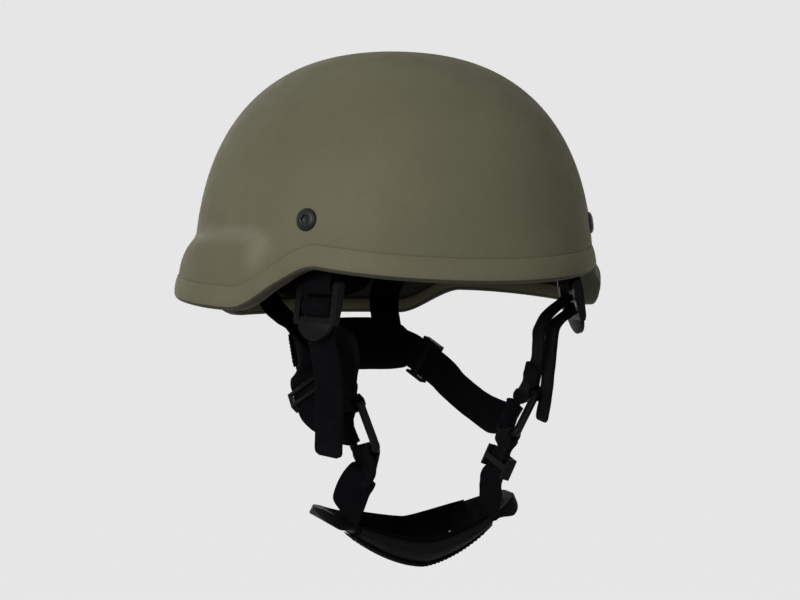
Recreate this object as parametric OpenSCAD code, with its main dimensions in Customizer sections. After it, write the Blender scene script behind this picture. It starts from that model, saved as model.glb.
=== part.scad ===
// Ballistic combat helmet with a padded liner and a four-point webbing harness.
// Millimetres, +Z up. The front faces -Y and the wearer's left is +X.
// The origin is the centre of the head opening, level with the lower rim of the ear covers.

/* [Shell] */
// Half of the shell's width above the ear covers
shell_half_w = 118; // [112:1:124]
// Reach of the shell in front of the origin
shell_front = 137; // [132:1:142]
// Reach of the shell behind the origin
shell_rear = 127; // [122:1:132]
// Height of the crown above the level where the walls stand upright
crown_h = 158; // [152:1:164]
// Thickness of the shell's wall
shell_t = 8; // [7:0.5:9]
// How far the ear covers stand out at their lower edge
ear_out = 9.5; // [6:0.5:12]
// Height of the soft crest above each ear cover
ear_crest_z = 44; // [38:1:48]

/* [Rim] */
// Height of the rim at the brow
brow_z = 18; // [14:1:22]
// Height of the rim's peak at each temple
temple_z = 24.5; // [22:0.5:28]
// Height of the rim at the back of the ear covers
ear_rear_z = 3; // [1:0.5:6]
// Height of the rim at the nape
nape_z = -13.5; // [-18:0.5:-9]
// Height of the rubber edging on the outside
trim_h = 12; // [10:1:16]
// Thickness of the rubber edging
trim_t = 1.9; // [1.5:0.1:2.4]

/* [Liner] */
// Thickness of the foam pads
pad_t = 19; // [13:1:22]
// Diameter of the crown pad
crown_pad_d = 128; // [110:2:134]

/* [Harness] */
// Width of the front, rear and chin webbing
web_w = 20; // [18:1:22]
// Width of the side straps
side_web_w = 22; // [20:1:24]
// Thickness of the webbing
web_t = 1.5; // [1.2:0.1:1.8]
// Width of the nape pad
nape_w = 84; // [76:2:90]
// Height of the nape pad
nape_h = 33; // [28:1:36]
// Width of the chin cup between its wing tips
cup_w = 132; // [126:2:138]
// Depth of the chin cup below its rear edge
cup_depth = 15; // [12:1:20]

/* [Hidden] */
$fn = 48;

olive = [0.39, 0.38, 0.3];
olive_trim = [0.37, 0.36, 0.28];
black_steel = [0.09, 0.09, 0.1];
black_plastic = [0.1, 0.1, 0.11];
black_web = [0.07, 0.07, 0.08];
black_foam = [0.06, 0.06, 0.07];
black_leather = [0.08, 0.08, 0.08];

// Shape of the shell: superellipse exponents of its plan and of its rise
plan_n = 2.1;
rise_n = 2.75;
round_n = 2.4;
// Level below which the walls stand upright, and the crown's shift to the front
wall_z = -7;
crown_lean = 1.8;
// Grid of the shell: steps round the rim, and rows from the rim to the crown
shell_steps = 80;
shell_rows = 13;

// Angles of the rim's features, from the front
temple_a = 43;
ear_front_a = 69;
ear_end_a = 131;
nape_a = 151;

// Screws that hold the harness: angle from the front and height
front_bolt = [46.4, 49.6];
rear_bolt = [153, 38];
shank_r = 2.5;
barrel_r = 3.9;
head_r = 6.3;

// Ladder locks: hinge of the top bar, direction that each faces, tilt and sizes
lock_at = [80, -82.5, 13];
right_face_a = 64;
left_face_a = 77;
lock_tilt = 7;
lock_w = 30;
bar_r = 2;
rail_w = 3.8;
lock_drop = 20;
tab_drop = 30;

// Junction rings: lower and upper bars' centres as on the wearer's left, and the rod
right_ring = [[45.7, -70, -81], [54.7, -66, -55]];
left_ring = [[46.8, -70, -77.1], [62.4, -66, -54.3]];
ring_w = 29;
ring_corner = 2.6;
rod_r = 2.4;

// Routes of the harness as on the wearer's left, x mirrored for the right:
// place, width direction, share of the width
right_along = [-0.44, -0.9, 0];
left_along = [-0.22, -0.97, 0];
bar_way = [-0.07, -0.96, 0.26];
front_right_route = [
    [77.6, -81.2, -7.4, right_along, 1], [72.2, -79, -10, right_along, 1], [65, -78.5, -16, right_along, 1],
    [60.5, -75.5, -27, [-0.36, -0.93, 0], 1], [58.6, -71.3, -38, [-0.22, -0.97, 0.1], 1],
    [57.8, -67.6, -46.5, bar_way, 1], [56.2, -65.9, -51.8, bar_way, 0.9]
];
front_left_route = [
    [74.3, -81.2, 1, left_along, 1], [69.6, -80.1, -2.5, left_along, 1], [65.8, -79, -6.7, left_along, 1],
    [63, -77, -14.9, left_along, 1], [64.2, -74, -24.7, left_along, 1], [64.2, -70, -36.5, left_along, 1],
    [63.4, -67.2, -45.5, bar_way, 1], [63, -66, -51.2, bar_way, 0.9]
];
tail_right_route = [
    [80.7, -82.9, -8.4, right_along, 1], [79.5, -82.4, -15, right_along, 1], [75.8, -82, -30, right_along, 1],
    [73, -80, -50, right_along, 1], [72.5, -78.3, -66, right_along, 1], [72, -77, -82, right_along, 1]
];
tail_left_route = [
    [77, -81.8, -6, left_along, 1], [73.6, -81.1, -8.4, left_along, 1], [70.2, -81.4, -12.6, left_along, 1],
    [68.6, -82, -18.5, left_along, 1], [67.6, -82.2, -28, left_along, 1], [66.8, -81.6, -38, left_along, 1],
    [66, -80.8, -52, left_along, 1], [63.4, -80, -68.2, left_along, 1]
];
side_lean = [0.1, 0.28, 1];
side_face = [-0.69, -0.33, 0.645];
side_right_route = [
    [38, 58.5, -34, side_lean, 1], [40.3, 47, -36.7, side_lean, 1], [42.7, 36, -42.2, [-0.1, 0.14, 1], 1],
    [44.2, 29, -46.7, [-0.45, -0.12, 0.85], 1], [45.4, 23, -49.9, side_face, 1], [46.7, 16.5, -53.025, side_face, 1],
    [48, 10, -56.15, side_face, 1], [49.3, 3.5, -59.275, side_face, 1], [50.6, -3, -62.4, side_face, 1],
    [51.5, -10, -64.6, side_face, 1], [52.2, -22, -66.8, [-0.4, -0.2, 0.85], 1], [52.7, -36, -68, [0, 0, 1], 1],
    [53.6, -46, -68.6, [0.32, 0.14, 0.93], 0.95], [54.9, -54.4, -68.9, [0.32, 0.14, 0.93], 0.8]
];
side_left_route = [
    [37.5, 58.5, -34, side_lean, 1], [41.2, 50.5, -36.6, side_lean, 1], [43.6, 43.5, -39.5, side_lean, 1],
    [46, 36.5, -42.9, side_lean, 1], [48.4, 29.5, -46.3, side_lean, 1], [50.9, 22.3, -50.6, side_lean, 1],
    [53.4, 14, -56.4, side_lean, 1], [55.4, 2, -61.8, side_lean, 1], [56.9, -10, -66.1, [0.1, 0.2, 1], 1],
    [58, -23, -69.6, [0.2, 0.1, 1], 1], [58.8, -35, -71.6, [0.4, 0.1, 0.9], 1], [59.6, -46, -71, [0.55, 0.1, 0.8], 0.95],
    [58.9, -54, -69.2, [0.55, 0.14, 0.8], 0.8]
];
rear_route = [
    [50.5, 97.8, 19, [0.87, -0.49, 0], 1], [48.5, 98.6, 10, [0.88, -0.47, 0], 1], [44, 98, 0, [0.9, -0.4, 0], 1],
    [40, 91, -10, [0.97, -0.25, 0], 1], [35.5, 79, -17, [1, -0.1, 0], 1], [31.5, 69, -21, [1, 0, 0], 1],
    [29, 62.3, -26, [1, 0, 0], 1]
];
chin_right_route = [
    [45.4, -70.95, -84.6, bar_way, 0.85], [45.2, -71.4, -88.6, [-0.2, -0.95, 0.2], 0.9],
    [46, -69, -94.5, [-0.6, -0.8, 0], 1], [48.3, -64.5, -101, [-0.8, -0.6, 0], 1],
    [50, -60, -107.5, [-0.8, -0.6, 0], 1], [50, -55.5, -114.5, [-0.7, -0.7, 0], 1],
    [48.2, -51.8, -121.5, [-0.35, -0.93, 0], 1], [45.7, -49.9, -127.5, [0, -1, 0], 1],
    [44.9, -49.5, -131.5, [0, -1, 0], 1], [44.6, -49.3, -135.5, [0, -1, 0], 1]
];
chin_left_route = [
    [46.4, -70.7, -80.5, bar_way, 0.95], [45, -71, -83.5, [0, -0.98, 0.15], 1], [43.4, -70.65, -86.4, [0.1, -1, 0], 1],
    [41.2, -69, -93, [0.1, -1, 0], 1], [39, -67.35, -99.6, [0.1, -1, 0], 1], [39, -64.6, -105, [0.1, -1, 0], 1],
    [40.6, -61, -110.5, [0.1, -1, 0], 1], [42.4, -56.5, -117, [0.05, -1, 0], 1], [44, -52.3, -124, [0, -1, 0], 1],
    [44.8, -50, -130, [0, -1, 0], 1], [44.6, -49.3, -135.5, [0, -1, 0], 1]
];

// Nape band from the wearer's right to the left, and the pad's thickness
nape_route = [
    [-nape_w / 2 + 1, 58, -35.5], [-nape_w / 3, 61.5, -33], [0, 63.5, -32],
    [nape_w / 3, 61.5, -33], [nape_w / 2 - 1, 58, -35.5]
];
nape_t = 10;

// Slides on the side straps: place and the strap's direction there, as on the wearer's left
right_slider = [[48, 10, -56.15], [5.2, -26, -12.5]];
left_slider = [[45.28, 38.6, -41.88], [2.4, -7, -3.4]];

// Chin cup: centre of its rear edge, half depth and wall
cup_at = [0, -42, -135];
cup_half_y = 21;
cup_t = 3;
liner_t = 2.5;

// Pads: centre angle and height, half width and half height
front_pad_at = [0, 62, 58, 30];
rear_pad_at = [180, 29, 42, 34];
temple_pad_at = [72, 68, 34, 27];
side_pad_at = [124, 44, 33, 32];
hook_t = 1.3;

function mix(a, b, t) = a + (b - a) * t;
function soft(t) = let (c = min(max(t, 0), 1)) c * c * (3 - 2 * c);
function unit(v) = v / norm(v);

// Distance from the axis to the plan outline at an angle from the front
function plan_r(a, off) =
    let (w = shell_half_w + off, l = (cos(a) > 0 ? shell_front : shell_rear) + off)
    pow(pow(abs(sin(a)) / w, plan_n) + pow(abs(cos(a)) / l, plan_n), -1 / plan_n);

// How much the plan shrinks at a height
function draw_in(z, off) =
    let (s = min(max((z - wall_z) / (crown_h + off), 0), 1))
    pow(1 - pow(s, rise_n), 1 / round_n);

// How far the ear cover stands out at an angle and height
function ear_swell(a, z) =
    let (b = abs(a), front_fall = 18 * pow(max(66 - b, 0) / 15, 2), rear_fall = 18 * pow(max(b - 70, 0) / 75, 2),
        below = max(ear_crest_z - front_fall - rear_fall - z, 0),
        share = 0.25 * soft((b - 50) / 7) + 0.75 * soft((b - 52) / 32))
    ear_out * share * soft((147 - b) / 24) * (1 - exp(-pow(below / 11.2, 1.4)));

// Point of the shell's face, off millimetres outside the outer face, at an angle and height
function face(a, z, off) =
    let (r = plan_r(a, off) * draw_in(z, off) + ear_swell(a, z))
    [r * sin(a), -r * cos(a) - crown_lean * max(z - wall_z, 0) / crown_h, z];

// Outward direction of the outer face at an angle and height
function outward(a, z) =
    unit(cross(face(a + 1, z, 0) - face(a - 1, z, 0), face(a, z + 1, 0) - face(a, z - 1, 0)));

// Height of the bare rim at an angle
function rim_z(a) =
    let (b = abs(a))
    b < temple_a ? mix(brow_z, temple_z, pow(b / temple_a, 2)) :
    b < ear_front_a ? mix(temple_z, 0, soft((b - temple_a) / (ear_front_a - temple_a))) :
    b < ear_end_a ? mix(0, ear_rear_z, soft((b - ear_front_a) / (ear_end_a - ear_front_a))) :
    mix(ear_rear_z, nape_z, soft((b - ear_end_a) / (nape_a - ear_end_a)));

// Height of a row of the shell's grid, closer together near the crown
function row_z(a, i, off) =
    let (top = crown_h + off, low = asin((rim_z(a) - wall_z) / top))
    wall_z + top * sin(mix(low, 90, i / shell_rows));

// Faces of a closed skin from rings of n points, each ring joined to the next
function ring_faces(n, rings, first = 0) = [
    for (i = [0:rings - 2]) for (j = [0:n - 1])
        let (k = (j + 1) % n, p = first + i * n, q = p + n)
        each [[p + j, q + j, q + k], [p + j, q + k, p + k]]
];

// Smooth curve through control values, sub steps between each pair
function curve(c, sub) = [
    for (i = [0:len(c) - 2]) for (s = [0:sub - 1])
        let (t = s / sub, a = c[max(i - 1, 0)], b = c[i], d = c[i + 1], e = c[min(i + 2, len(c) - 1)])
        0.5 * (2 * b + (d - a) * t + (2 * a - 5 * b + 4 * d - e) * t * t
            + (3 * b - a - 3 * d + e) * t * t * t),
    c[len(c) - 1]
];

// Flat webbing along a route of places, width directions and width shares
module ribbon(route, width, thick = web_t, sub = 4) {
    places = curve([for (r = route) [r[0], r[1], r[2]]], sub);
    sides = curve([for (r = route) r[3]], sub);
    shares = curve([for (r = route) r[4]], sub);
    last = len(places) - 1;
    rings = [
        for (i = [0:last])
            let (
                t = unit(places[min(i + 1, last)] - places[max(i - 1, 0)]),
                w = unit(sides[i] - t * (sides[i] * t)), n = cross(t, w),
                u = w * width * shares[i] / 2, v = n * thick / 2
            )
            each [places[i] - u - v, places[i] + u - v, places[i] + u + v, places[i] - u + v]
    ];
    polyhedron(rings, concat([[0, 1, 2], [0, 2, 3]], ring_faces(4, last + 1),
        [[4 * last + 2, 4 * last + 1, 4 * last], [4 * last + 3, 4 * last + 2, 4 * last]]));
}

// Padded band along a route, with rounded edges and tapered ends
module bolster(route, height, thick, sub = 4) {
    n = 14;
    places = curve(route, sub);
    last = len(places) - 1;
    rings = [
        for (i = [0:last])
            let (
                t = unit(places[min(i + 1, last)] - places[max(i - 1, 0)]), up = [0, 0, 1],
                out = unit(cross(t, up)), e = pow(1 - pow(abs(2 * i / last - 1), 4) * 0.8, 0.6)
            )
            for (j = [0:n - 1])
                let (a = -j * 360 / n)
                places[i] + up * height / 2 * mix(1, e, 0.38) * sign(sin(a)) * pow(abs(sin(a)), 0.6)
                    + out * thick / 2 * e * sign(cos(a)) * pow(abs(cos(a)), 0.6)
    ];
    polyhedron(rings, concat([[for (j = [0:n - 1]) j]], ring_faces(n, last + 1),
        [[for (j = [0:n - 1]) n * (last + 1) - 1 - j]]));
}

module mirrored(left) {
    if (left)
        children();
    else
        mirror([1, 0, 0]) children();
}

// Places children on the wearer's left of the shell, with -Y pointing out of it
module on_shell(at) {
    n = outward(at[0], at[1]);
    translate(face(at[0], at[1], 0)) rotate([-asin(n[2]), 0, atan2(n[0], -n[1])]) children();
}

// Rod along X with round ends flush
module rod(length, radius) {
    rotate([0, 90, 0]) cylinder(h = length, r = radius, center = true);
}

// Round hole or rod along Y
module along_y(y0, y1, radius) {
    translate([0, y0, 0]) rotate([-90, 0, 0]) cylinder(h = y1 - y0, r = radius);
}

module shell_skin() {
    n = shell_steps;
    angles = [for (j = [0:n - 1]) j * 360 / n - 180];
    outer = [for (i = [0:shell_rows - 1]) for (a = angles) face(a, row_z(a, i, 0), 0)];
    inner = [for (i = [0:shell_rows - 1]) for (a = angles)
        let (z = row_z(a, i, -shell_t)) face(a, i == 0 ? rim_z(a) : z, -shell_t)];
    top = [0, -crown_lean, wall_z + crown_h];
    low_top = top - [0, 0, shell_t];
    first = n * shell_rows;
    ends = 2 * first;
    polyhedron(
        concat(outer, inner, [top, low_top]),
        concat(
            ring_faces(n, shell_rows),
            [for (f = ring_faces(n, shell_rows, first)) [f[2], f[1], f[0]]],
            [for (j = [0:n - 1]) [first - n + (j + 1) % n, first - n + j, ends]],
            [for (j = [0:n - 1]) [ends - n + j, ends - n + (j + 1) % n, ends + 1]],
            [for (j = [0:n - 1]) let (k = (j + 1) % n) each [[j, k, first + k], [j, first + k, first + j]]]
        )
    );
}

module shell() {
    color(olive) difference() {
        shell_skin();
        for (at = [front_bolt, rear_bolt]) for (left = [true, false])
            mirrored(left) on_shell(at) along_y(-10, 20, barrel_r + 0.2);
    }
}

// Rubber channel pushed over the rim
module edge_trim() {
    n = 96;
    inner_h = 8;
    profile = [
        [0.1, trim_h - 1.2], [trim_t - 0.9, trim_h], [trim_t, trim_h - 1.4], [trim_t, 0.4],
        [0.8, -trim_t], [-shell_t - 0.8, -trim_t], [-shell_t - trim_t, 0.4],
        [-shell_t - trim_t, inner_h], [-shell_t - 0.1, inner_h], [-shell_t - 0.1, 0], [0.1, 0]
    ];
    count = len(profile);
    rings = [
        for (j = [0:n - 1]) for (p = profile)
            let (a = j * 360 / n - 180) face(a, rim_z(a) + p[1], p[0])
    ];
    color(olive_trim) polyhedron(rings, [
        for (j = [0:n - 1]) for (i = [0:count - 1])
            let (k = (i + 1) % count, p = j * count, q = ((j + 1) % n) * count)
            each [[p + i, p + k, q + k], [p + i, q + k, q + i]]
    ]);
}

// Domed screw with a hexagonal socket, seated on the shell's outer face
module screw() {
    difference() {
        union() {
            rotate([90, 0, 0]) rotate_extrude()
                polygon([[0, 0], [head_r, 0], [head_r, 0.5], [head_r - 0.8, 1.2], [head_r - 2.2, 1.8], [0, 2.1]]);
            along_y(-0.5, 11, shank_r);
        }
        rotate([90, 0, 0]) translate([0, 0, 0.6]) cylinder(h = 4, r = 2.6, $fn = 6);
    }
}

module screws() {
    color(black_steel) for (at = [front_bolt, rear_bolt]) for (left = [true, false])
        mirrored(left) on_shell(at) screw();
}

// Flanged nut whose barrel passes through the anchor and the shell
module post_nuts() {
    color(black_steel) for (at = [front_bolt, rear_bolt]) for (left = [true, false])
        mirrored(left) on_shell(at) difference() {
            union() {
                along_y(2.5, 12.9, barrel_r);
                along_y(12.8, 14.4, 8);
            }
            along_y(2, 11.5, shank_r);
        }
}

// Places children at a lock's hinge as on the wearer's left, with -Y facing out
module at_lock(left, tilt) {
    translate(lock_at) rotate([0, 0, left ? left_face_a : right_face_a]) rotate([-tilt, 0, 0]) children();
}

// Doubled webbing tab from the screw to the eye round the lock's top bar
module front_anchor(left) {
    shell_way = [-0.57, -0.82, 0];
    ply_r = bar_r + 0.4;
    along = left ? left_along : right_along;
    route = [
        for (z = [58, 49.6, 42]) let (q = face(46.4, z, -11)) [q[0], q[1], q[2], shell_way, 1],
        [81.3, -80.9, 34, shell_way, 1], [80.7, -81.7, 25, shell_way, 1], [80.2, -82.3, 19, along, 1],
        [80, -82.5, 16.2, along, 1]
    ];
    color(black_web) mirrored(left) difference() {
        union() {
            ribbon(route, web_w, 2 * web_t);
            at_lock(left, 0) rod(web_w, ply_r + web_t);
        }
        at_lock(left, 0) rod(web_w + 2, ply_r);
        on_shell(front_bolt) along_y(0, 20, barrel_r + 0.2);
    }
}

module front_anchor_right() { front_anchor(false); }
module front_anchor_left() { front_anchor(true); }

// Tabs of the rear straps, flat against the inside of the shell
module rear_anchors() {
    color(black_web) for (left = [true, false]) mirrored(left) on_shell(rear_bolt) difference() {
        union() {
            translate([-web_w / 2, 9.6, -24]) cube([web_w, 2 * web_t, 24]);
            along_y(9.6, 9.6 + 2 * web_t, web_w / 2);
        }
        along_y(0, 20, barrel_r + 0.2);
    }
}

// Three-bar lock with two rails, a toothed lower bar and a thumb tab
module ladder_lock(left) {
    rail_x = lock_w / 2 - rail_w;
    color(black_plastic) mirrored(left) at_lock(left, lock_tilt) union() {
        for (s = [-1, 1]) translate([s * (rail_x + rail_w / 2) - rail_w / 2, 0, 0]) rotate([90, 0, 90])
            linear_extrude(height = rail_w) polygon([
                [-2.6, 2], [-1.4, 3.2], [1.6, 3.2], [2.8, 1.8], [2.8, -6], [1.6, -14],
                [0.4, -lock_drop - 1], [-2.4, -lock_drop - 1], [-3.2, -lock_drop + 2], [-3, -8]
            ]);
        rod(lock_w - 2, bar_r);
        translate([0, 0.4, -9.5]) rod(lock_w - 2, 1.6);
        translate([1 - lock_w / 2, 0, 0]) rotate([90, 0, 90]) linear_extrude(height = lock_w - 2)
            polygon([[-2.4, -17], [-0.4, -16.2], [0.4, -lock_drop - 1], [-2.4, -lock_drop - 1]]);
        translate([0, -0.2, -lock_drop]) rotate([-6, 0, 0]) rotate([90, 0, 0])
            linear_extrude(height = 2.4) intersection() {
                translate([-lock_w / 2, lock_drop - tab_drop]) square([lock_w, tab_drop - lock_drop + 1]);
                translate([0, 2.6]) circle(r = tab_drop - lock_drop + 2.6);
            }
    }
}

module ladder_lock_right() { ladder_lock(false); }
module ladder_lock_left() { ladder_lock(true); }

// Webbing inside the lock: up behind the middle bar, over it, down in front and back behind the tab.
// The wearer's left strap is slack and leaves both bars sooner.
module lock_webbing(left) {
    x = [1, 0, 0];
    load = left ? [[0, 6.1, -10.4, x, 1], [0, 4.6, -9.5, x, 1], [0, 3, -8, x, 1]] :
        [[0, 4.4, -18, x, 1], [0, 4, -12, x, 1], [0, 3.2, -8.6, x, 1]];
    free = left ? [[0, 1.5, -16.3, x, 1], [0, 4.2, -17.7, x, 1]] : [[0, 1.4, -16.4, x, 1], [0, 1.9, -19.6, x, 1]];
    color(black_web) mirrored(left) at_lock(left, lock_tilt) ribbon(concat(
        load, [[0, 0.4, -6.7, x, 1], [0, -2.2, -8.8, x, 1], [0, -2.6, -12.4, x, 1], [0, -1.2, -14.9, x, 1]], free
    ), web_w, web_t, 2);
}

module lock_webbing_right() { lock_webbing(false); }
module lock_webbing_left() { lock_webbing(true); }

// Places children with Z along a way and X near a lean
module on_way(at, way, lean) {
    z = unit(way);
    x = unit(lean - z * (lean * z));
    y = cross(z, x);
    multmatrix([[x[0], y[0], z[0], at[0]], [x[1], y[1], z[1], at[1]], [x[2], y[2], z[2], at[2]], [0, 0, 0, 1]])
        children();
}

// Height between a ring's bars
function ring_h(left) = let (ring = left ? left_ring : right_ring) norm(ring[1] - ring[0]);

// Places children in a junction ring, with X along its bars and Z up its legs
module on_ring(left) {
    ring = left ? left_ring : right_ring;
    on_way(ring[0], ring[1] - ring[0], -bar_way) children();
}

// Loop of webbing sewn round a bar along X
module fold(width) {
    difference() {
        rod(width, rod_r + 0.35 + web_t);
        rod(width + 1, rod_r + 0.35);
    }
}

// Front strap with a fold round the junction ring's upper bar
module front_strap(left) {
    color(black_web) mirrored(left) {
        ribbon(left ? front_left_route : front_right_route, web_w);
        on_ring(left) translate([0, 0, ring_h(left)]) fold(web_w * 0.9);
    }
}

module front_strap_right() { front_strap(false); }
module front_strap_left() { front_strap(true); }
module front_tail_right() { color(black_web) mirrored(false) ribbon(tail_right_route, web_w); }
module front_tail_left() { color(black_web) mirrored(true) ribbon(tail_left_route, web_w); }

// Rod frame that joins the front, side and chin straps
module junction_ring(left) {
    h = ring_h(left);
    half = ring_w / 2 - rod_r;
    c = ring_corner;
    color(black_plastic) mirrored(left) on_ring(left) {
        for (z = [0, h]) translate([0, 0, z]) rod(2 * (half - c), rod_r);
        for (s = [-1, 1]) {
            translate([s * half, 0, c]) cylinder(h = h - 2 * c, r = rod_r);
            for (z = [0, 1]) translate([s * (half - c), 0, z ? h - c : c])
                rotate([90, 0, 0]) rotate([0, 0, s > 0 ? (z ? 0 : -90) : (z ? 90 : 180)])
                    rotate_extrude(angle = 90) translate([c, 0]) circle(r = rod_r, $fn = 24);
        }
    }
}

module junction_ring_right() { junction_ring(false); }
module junction_ring_left() { junction_ring(true); }

// Side strap with a fold round the junction ring's rear leg
module side_strap(left) {
    color(black_web) mirrored(left) {
        ribbon(left ? side_left_route : side_right_route, side_web_w, web_t, 2);
        on_ring(left) translate([ring_w / 2 - rod_r, 0, ring_h(left) / 2]) rotate([0, 90, 0])
            fold(side_web_w * 0.7);
    }
}

module side_strap_right() { side_strap(false); }
module side_strap_left() { side_strap(true); }

// Three-bar slide round webbing that runs along Z: outer bars on the -Y side, middle bar behind
module tri_glide(web, gap, h = 17) {
    rail = 1.9;
    bar = 1.6;
    w = web + 2 * gap + 2 * rail;
    reach = web_t / 2 + gap;
    for (s = [-1, 1]) {
        translate([s * (w - rail) / 2 - rail / 2, -reach - bar, -h / 2]) cube([rail, 2 * (reach + bar), h]);
        translate([-w / 2, -reach - bar, s * (h / 2 - 1.7) - 1.7]) cube([w, bar, 3.4]);
    }
    translate([-w / 2, reach, -1.9]) cube([w, bar, 3.8]);
}

module side_slider(left) {
    place = left ? left_slider : right_slider;
    lean = left ? side_lean : side_face;
    color(black_plastic) mirrored(left) on_way(place[0], place[1], lean) tri_glide(side_web_w, 0.6, 15);
}

module side_slider_right() { side_slider(false); }
module side_slider_left() { side_slider(true); }

module rear_strap_right() { color(black_web) mirrored(false) ribbon(rear_route, web_w); }
module rear_strap_left() { color(black_web) mirrored(true) ribbon(rear_route, web_w); }

// Webbing behind the nape pad, sewn to the side and rear straps
module nape_band() {
    half = [for (p = nape_route) [p[0], p[1], p[2], [0, 0, 1], 1]];
    color(black_web) ribbon(half, side_web_w);
}

module nape_pad() {
    color(black_foam) bolster([for (p = nape_route) p - [0, nape_t / 2 + web_t / 2, 0]], nape_h, nape_t);
}

// Chin strap with a fold round the junction ring's lower bar
module chin_strap(left) {
    color(black_web) mirrored(left) {
        ribbon(left ? chin_left_route : chin_right_route, web_w);
        on_ring(left) fold(web_w * 0.9);
    }
}

module chin_strap_right() { chin_strap(false); }
module chin_strap_left() { chin_strap(true); }

module chin_slider() {
    color(black_plastic) on_way([41.2, -69, -93], [-4.4, 3.3, -13.2], [0.1, -1, 0]) tri_glide(web_w, 0.6, 13);
}

// Point of the cup: u along X from wing to wing, v from the rear edge to the front edge
function cup_face(u, v, off) =
    let (
        b = abs(u), half = cup_half_y * pow(max(1 - pow(b, 2.6), 0), 0.5) * 0.72 + 6,
        sag = (cup_depth + 1) * pow(max(1 - pow(min(b / 0.86, 1), 2), 0), 0.9),
        q = 90 * v, y = half * sin(q), z = -sag * cos(q)
    )
    cup_at + [u * cup_w / 2, -y * (1 + off / half), 16 * pow(b, 1.3) + z - off - 3.5 * (1 - b * b) * (1 + sin(q))];

// Skin that follows the cup, from u -reach to reach and v from v0 to v1
module cup_skin(out, in, reach, v0 = -1, v1 = 1, nu = 24, nv = 10) {
    row = nv + 1;
    grid = [
        for (o = [out, in]) for (i = [0:nu]) for (j = [0:nv])
            cup_face(mix(-reach, reach, i / nu), mix(v0, v1, j / nv), o)
    ];
    half = row * (nu + 1);
    sheet = [
        for (i = [0:nu - 1]) for (j = [0:nv - 1])
            let (p = i * row + j) each [[p, p + 1, p + row + 1], [p, p + row + 1, p + row]]
    ];
    edge = concat(
        [for (j = [0:nv]) j], [for (i = [1:nu]) i * row + nv],
        [for (j = [1:nv]) nu * row + nv - j], [for (i = [1:nu - 1]) (nu - i) * row]
    );
    m = len(edge);
    polyhedron(grid, concat(
        [for (f = sheet) [f[2], f[1], f[0]]],
        [for (f = sheet) [half + f[0], half + f[1], half + f[2]]],
        [for (i = [0:m - 1]) let (a = edge[i], b = edge[(i + 1) % m]) each [[a, b, half + b], [a, half + b, half + a]]]
    ));
}

module chin_cup() {
    color(black_leather) difference() {
        cup_skin(0, -cup_t, 1);
        for (s = [-1, 1]) translate([s * 45, -50, -126]) cube([4, web_w + 1.6, 24], center = true);
        for (vent = [[27, -141.5], [50, -128.5]]) for (s = [-1, 1]) translate([s * vent[0], -27, vent[1]]) along_y(-12, 8, 2.2);
    }
}

module chin_cup_liner() { color(black_foam) cup_skin(-cup_t, -cup_t - liner_t, 0.56); }

// Webbing under the cup that joins both chin straps
module chin_band() { color(black_web) cup_skin(web_t + 0.1, 0.1, 0.69, -0.1, 0.5, 16, 4); }

// Closed skin between two grids of rings, from a middle point out to the edge and back
module lens(n, rings, outer, inner) {
    points = concat(
        [outer[0][0]], [for (i = [1:rings]) for (j = [0:n - 1]) outer[i][j]],
        [for (i = [1:rings]) for (j = [0:n - 1]) inner[rings + 1 - i][j]], [inner[0][0]]
    );
    last = len(points) - 1;
    polyhedron(points, concat(
        [for (j = [0:n - 1]) [0, 1 + (j + 1) % n, 1 + j]],
        [for (f = ring_faces(n, 2 * rings, 1)) [f[2], f[1], f[0]]],
        [for (j = [0:n - 1]) [last, last - n + j, last - n + (j + 1) % n]]
    ));
}

// Pad on the wall: centre angle, height, half width and half height, and its thickness inside and at the edge
module wall_lens(at, off, thick, edge, n = 28, rings = 4) {
    function skin(inside) = [
        for (i = [0:rings]) [
            for (j = [0:n - 1])
                let (
                    a = j * 360 / n, r = i / rings, p = 0.62,
                    x = at[2] * r * sign(cos(a)) * pow(abs(cos(a)), p),
                    z = at[3] * r * sign(sin(a)) * pow(abs(sin(a)), p),
                    d = inside ? mix(thick, edge, pow(r, 4)) : 0
                )
                face(at[0] + x / plan_r(at[0], off) * 180 / PI, at[1] + z, off - d)
        ]
    ];
    lens(n, rings, skin(false), skin(true));
}

// Round pad under the crown
module crown_lens(radius, off, thick, edge, n = 32, rings = 4) {
    function skin(inside) = [
        for (i = [0:rings]) [
            for (j = [0:n - 1])
                let (
                    a = j * 360 / n, r = radius * i / rings,
                    o = off - (inside ? mix(thick, edge, pow(i / rings, 4)) : 0), k = r / plan_r(a, o)
                )
                [r * sin(a), -r * cos(a) - crown_lean, wall_z + (crown_h + o) * pow(1 - pow(k, round_n), 1 / rise_n)]
        ]
    ];
    lens(n, rings, skin(false), skin(true));
}

module wall_pad(at) { wall_lens(at, -shell_t - hook_t - 0.1, pad_t, pad_t * 0.45); }

module crown_pad() { color(black_foam) crown_lens(crown_pad_d / 2, -shell_t - hook_t - 0.5, pad_t, pad_t * 0.45); }
module front_pad() { color(black_foam) wall_pad(front_pad_at); }
module rear_pad() { color(black_foam) wall_pad(rear_pad_at); }
module temple_pad_right() { color(black_foam) mirrored(false) wall_pad(temple_pad_at); }
module temple_pad_left() { color(black_foam) mirrored(true) wall_pad(temple_pad_at); }
module side_pad_right() { color(black_foam) mirrored(false) wall_pad(side_pad_at); }
module side_pad_left() { color(black_foam) mirrored(true) wall_pad(side_pad_at); }

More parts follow.
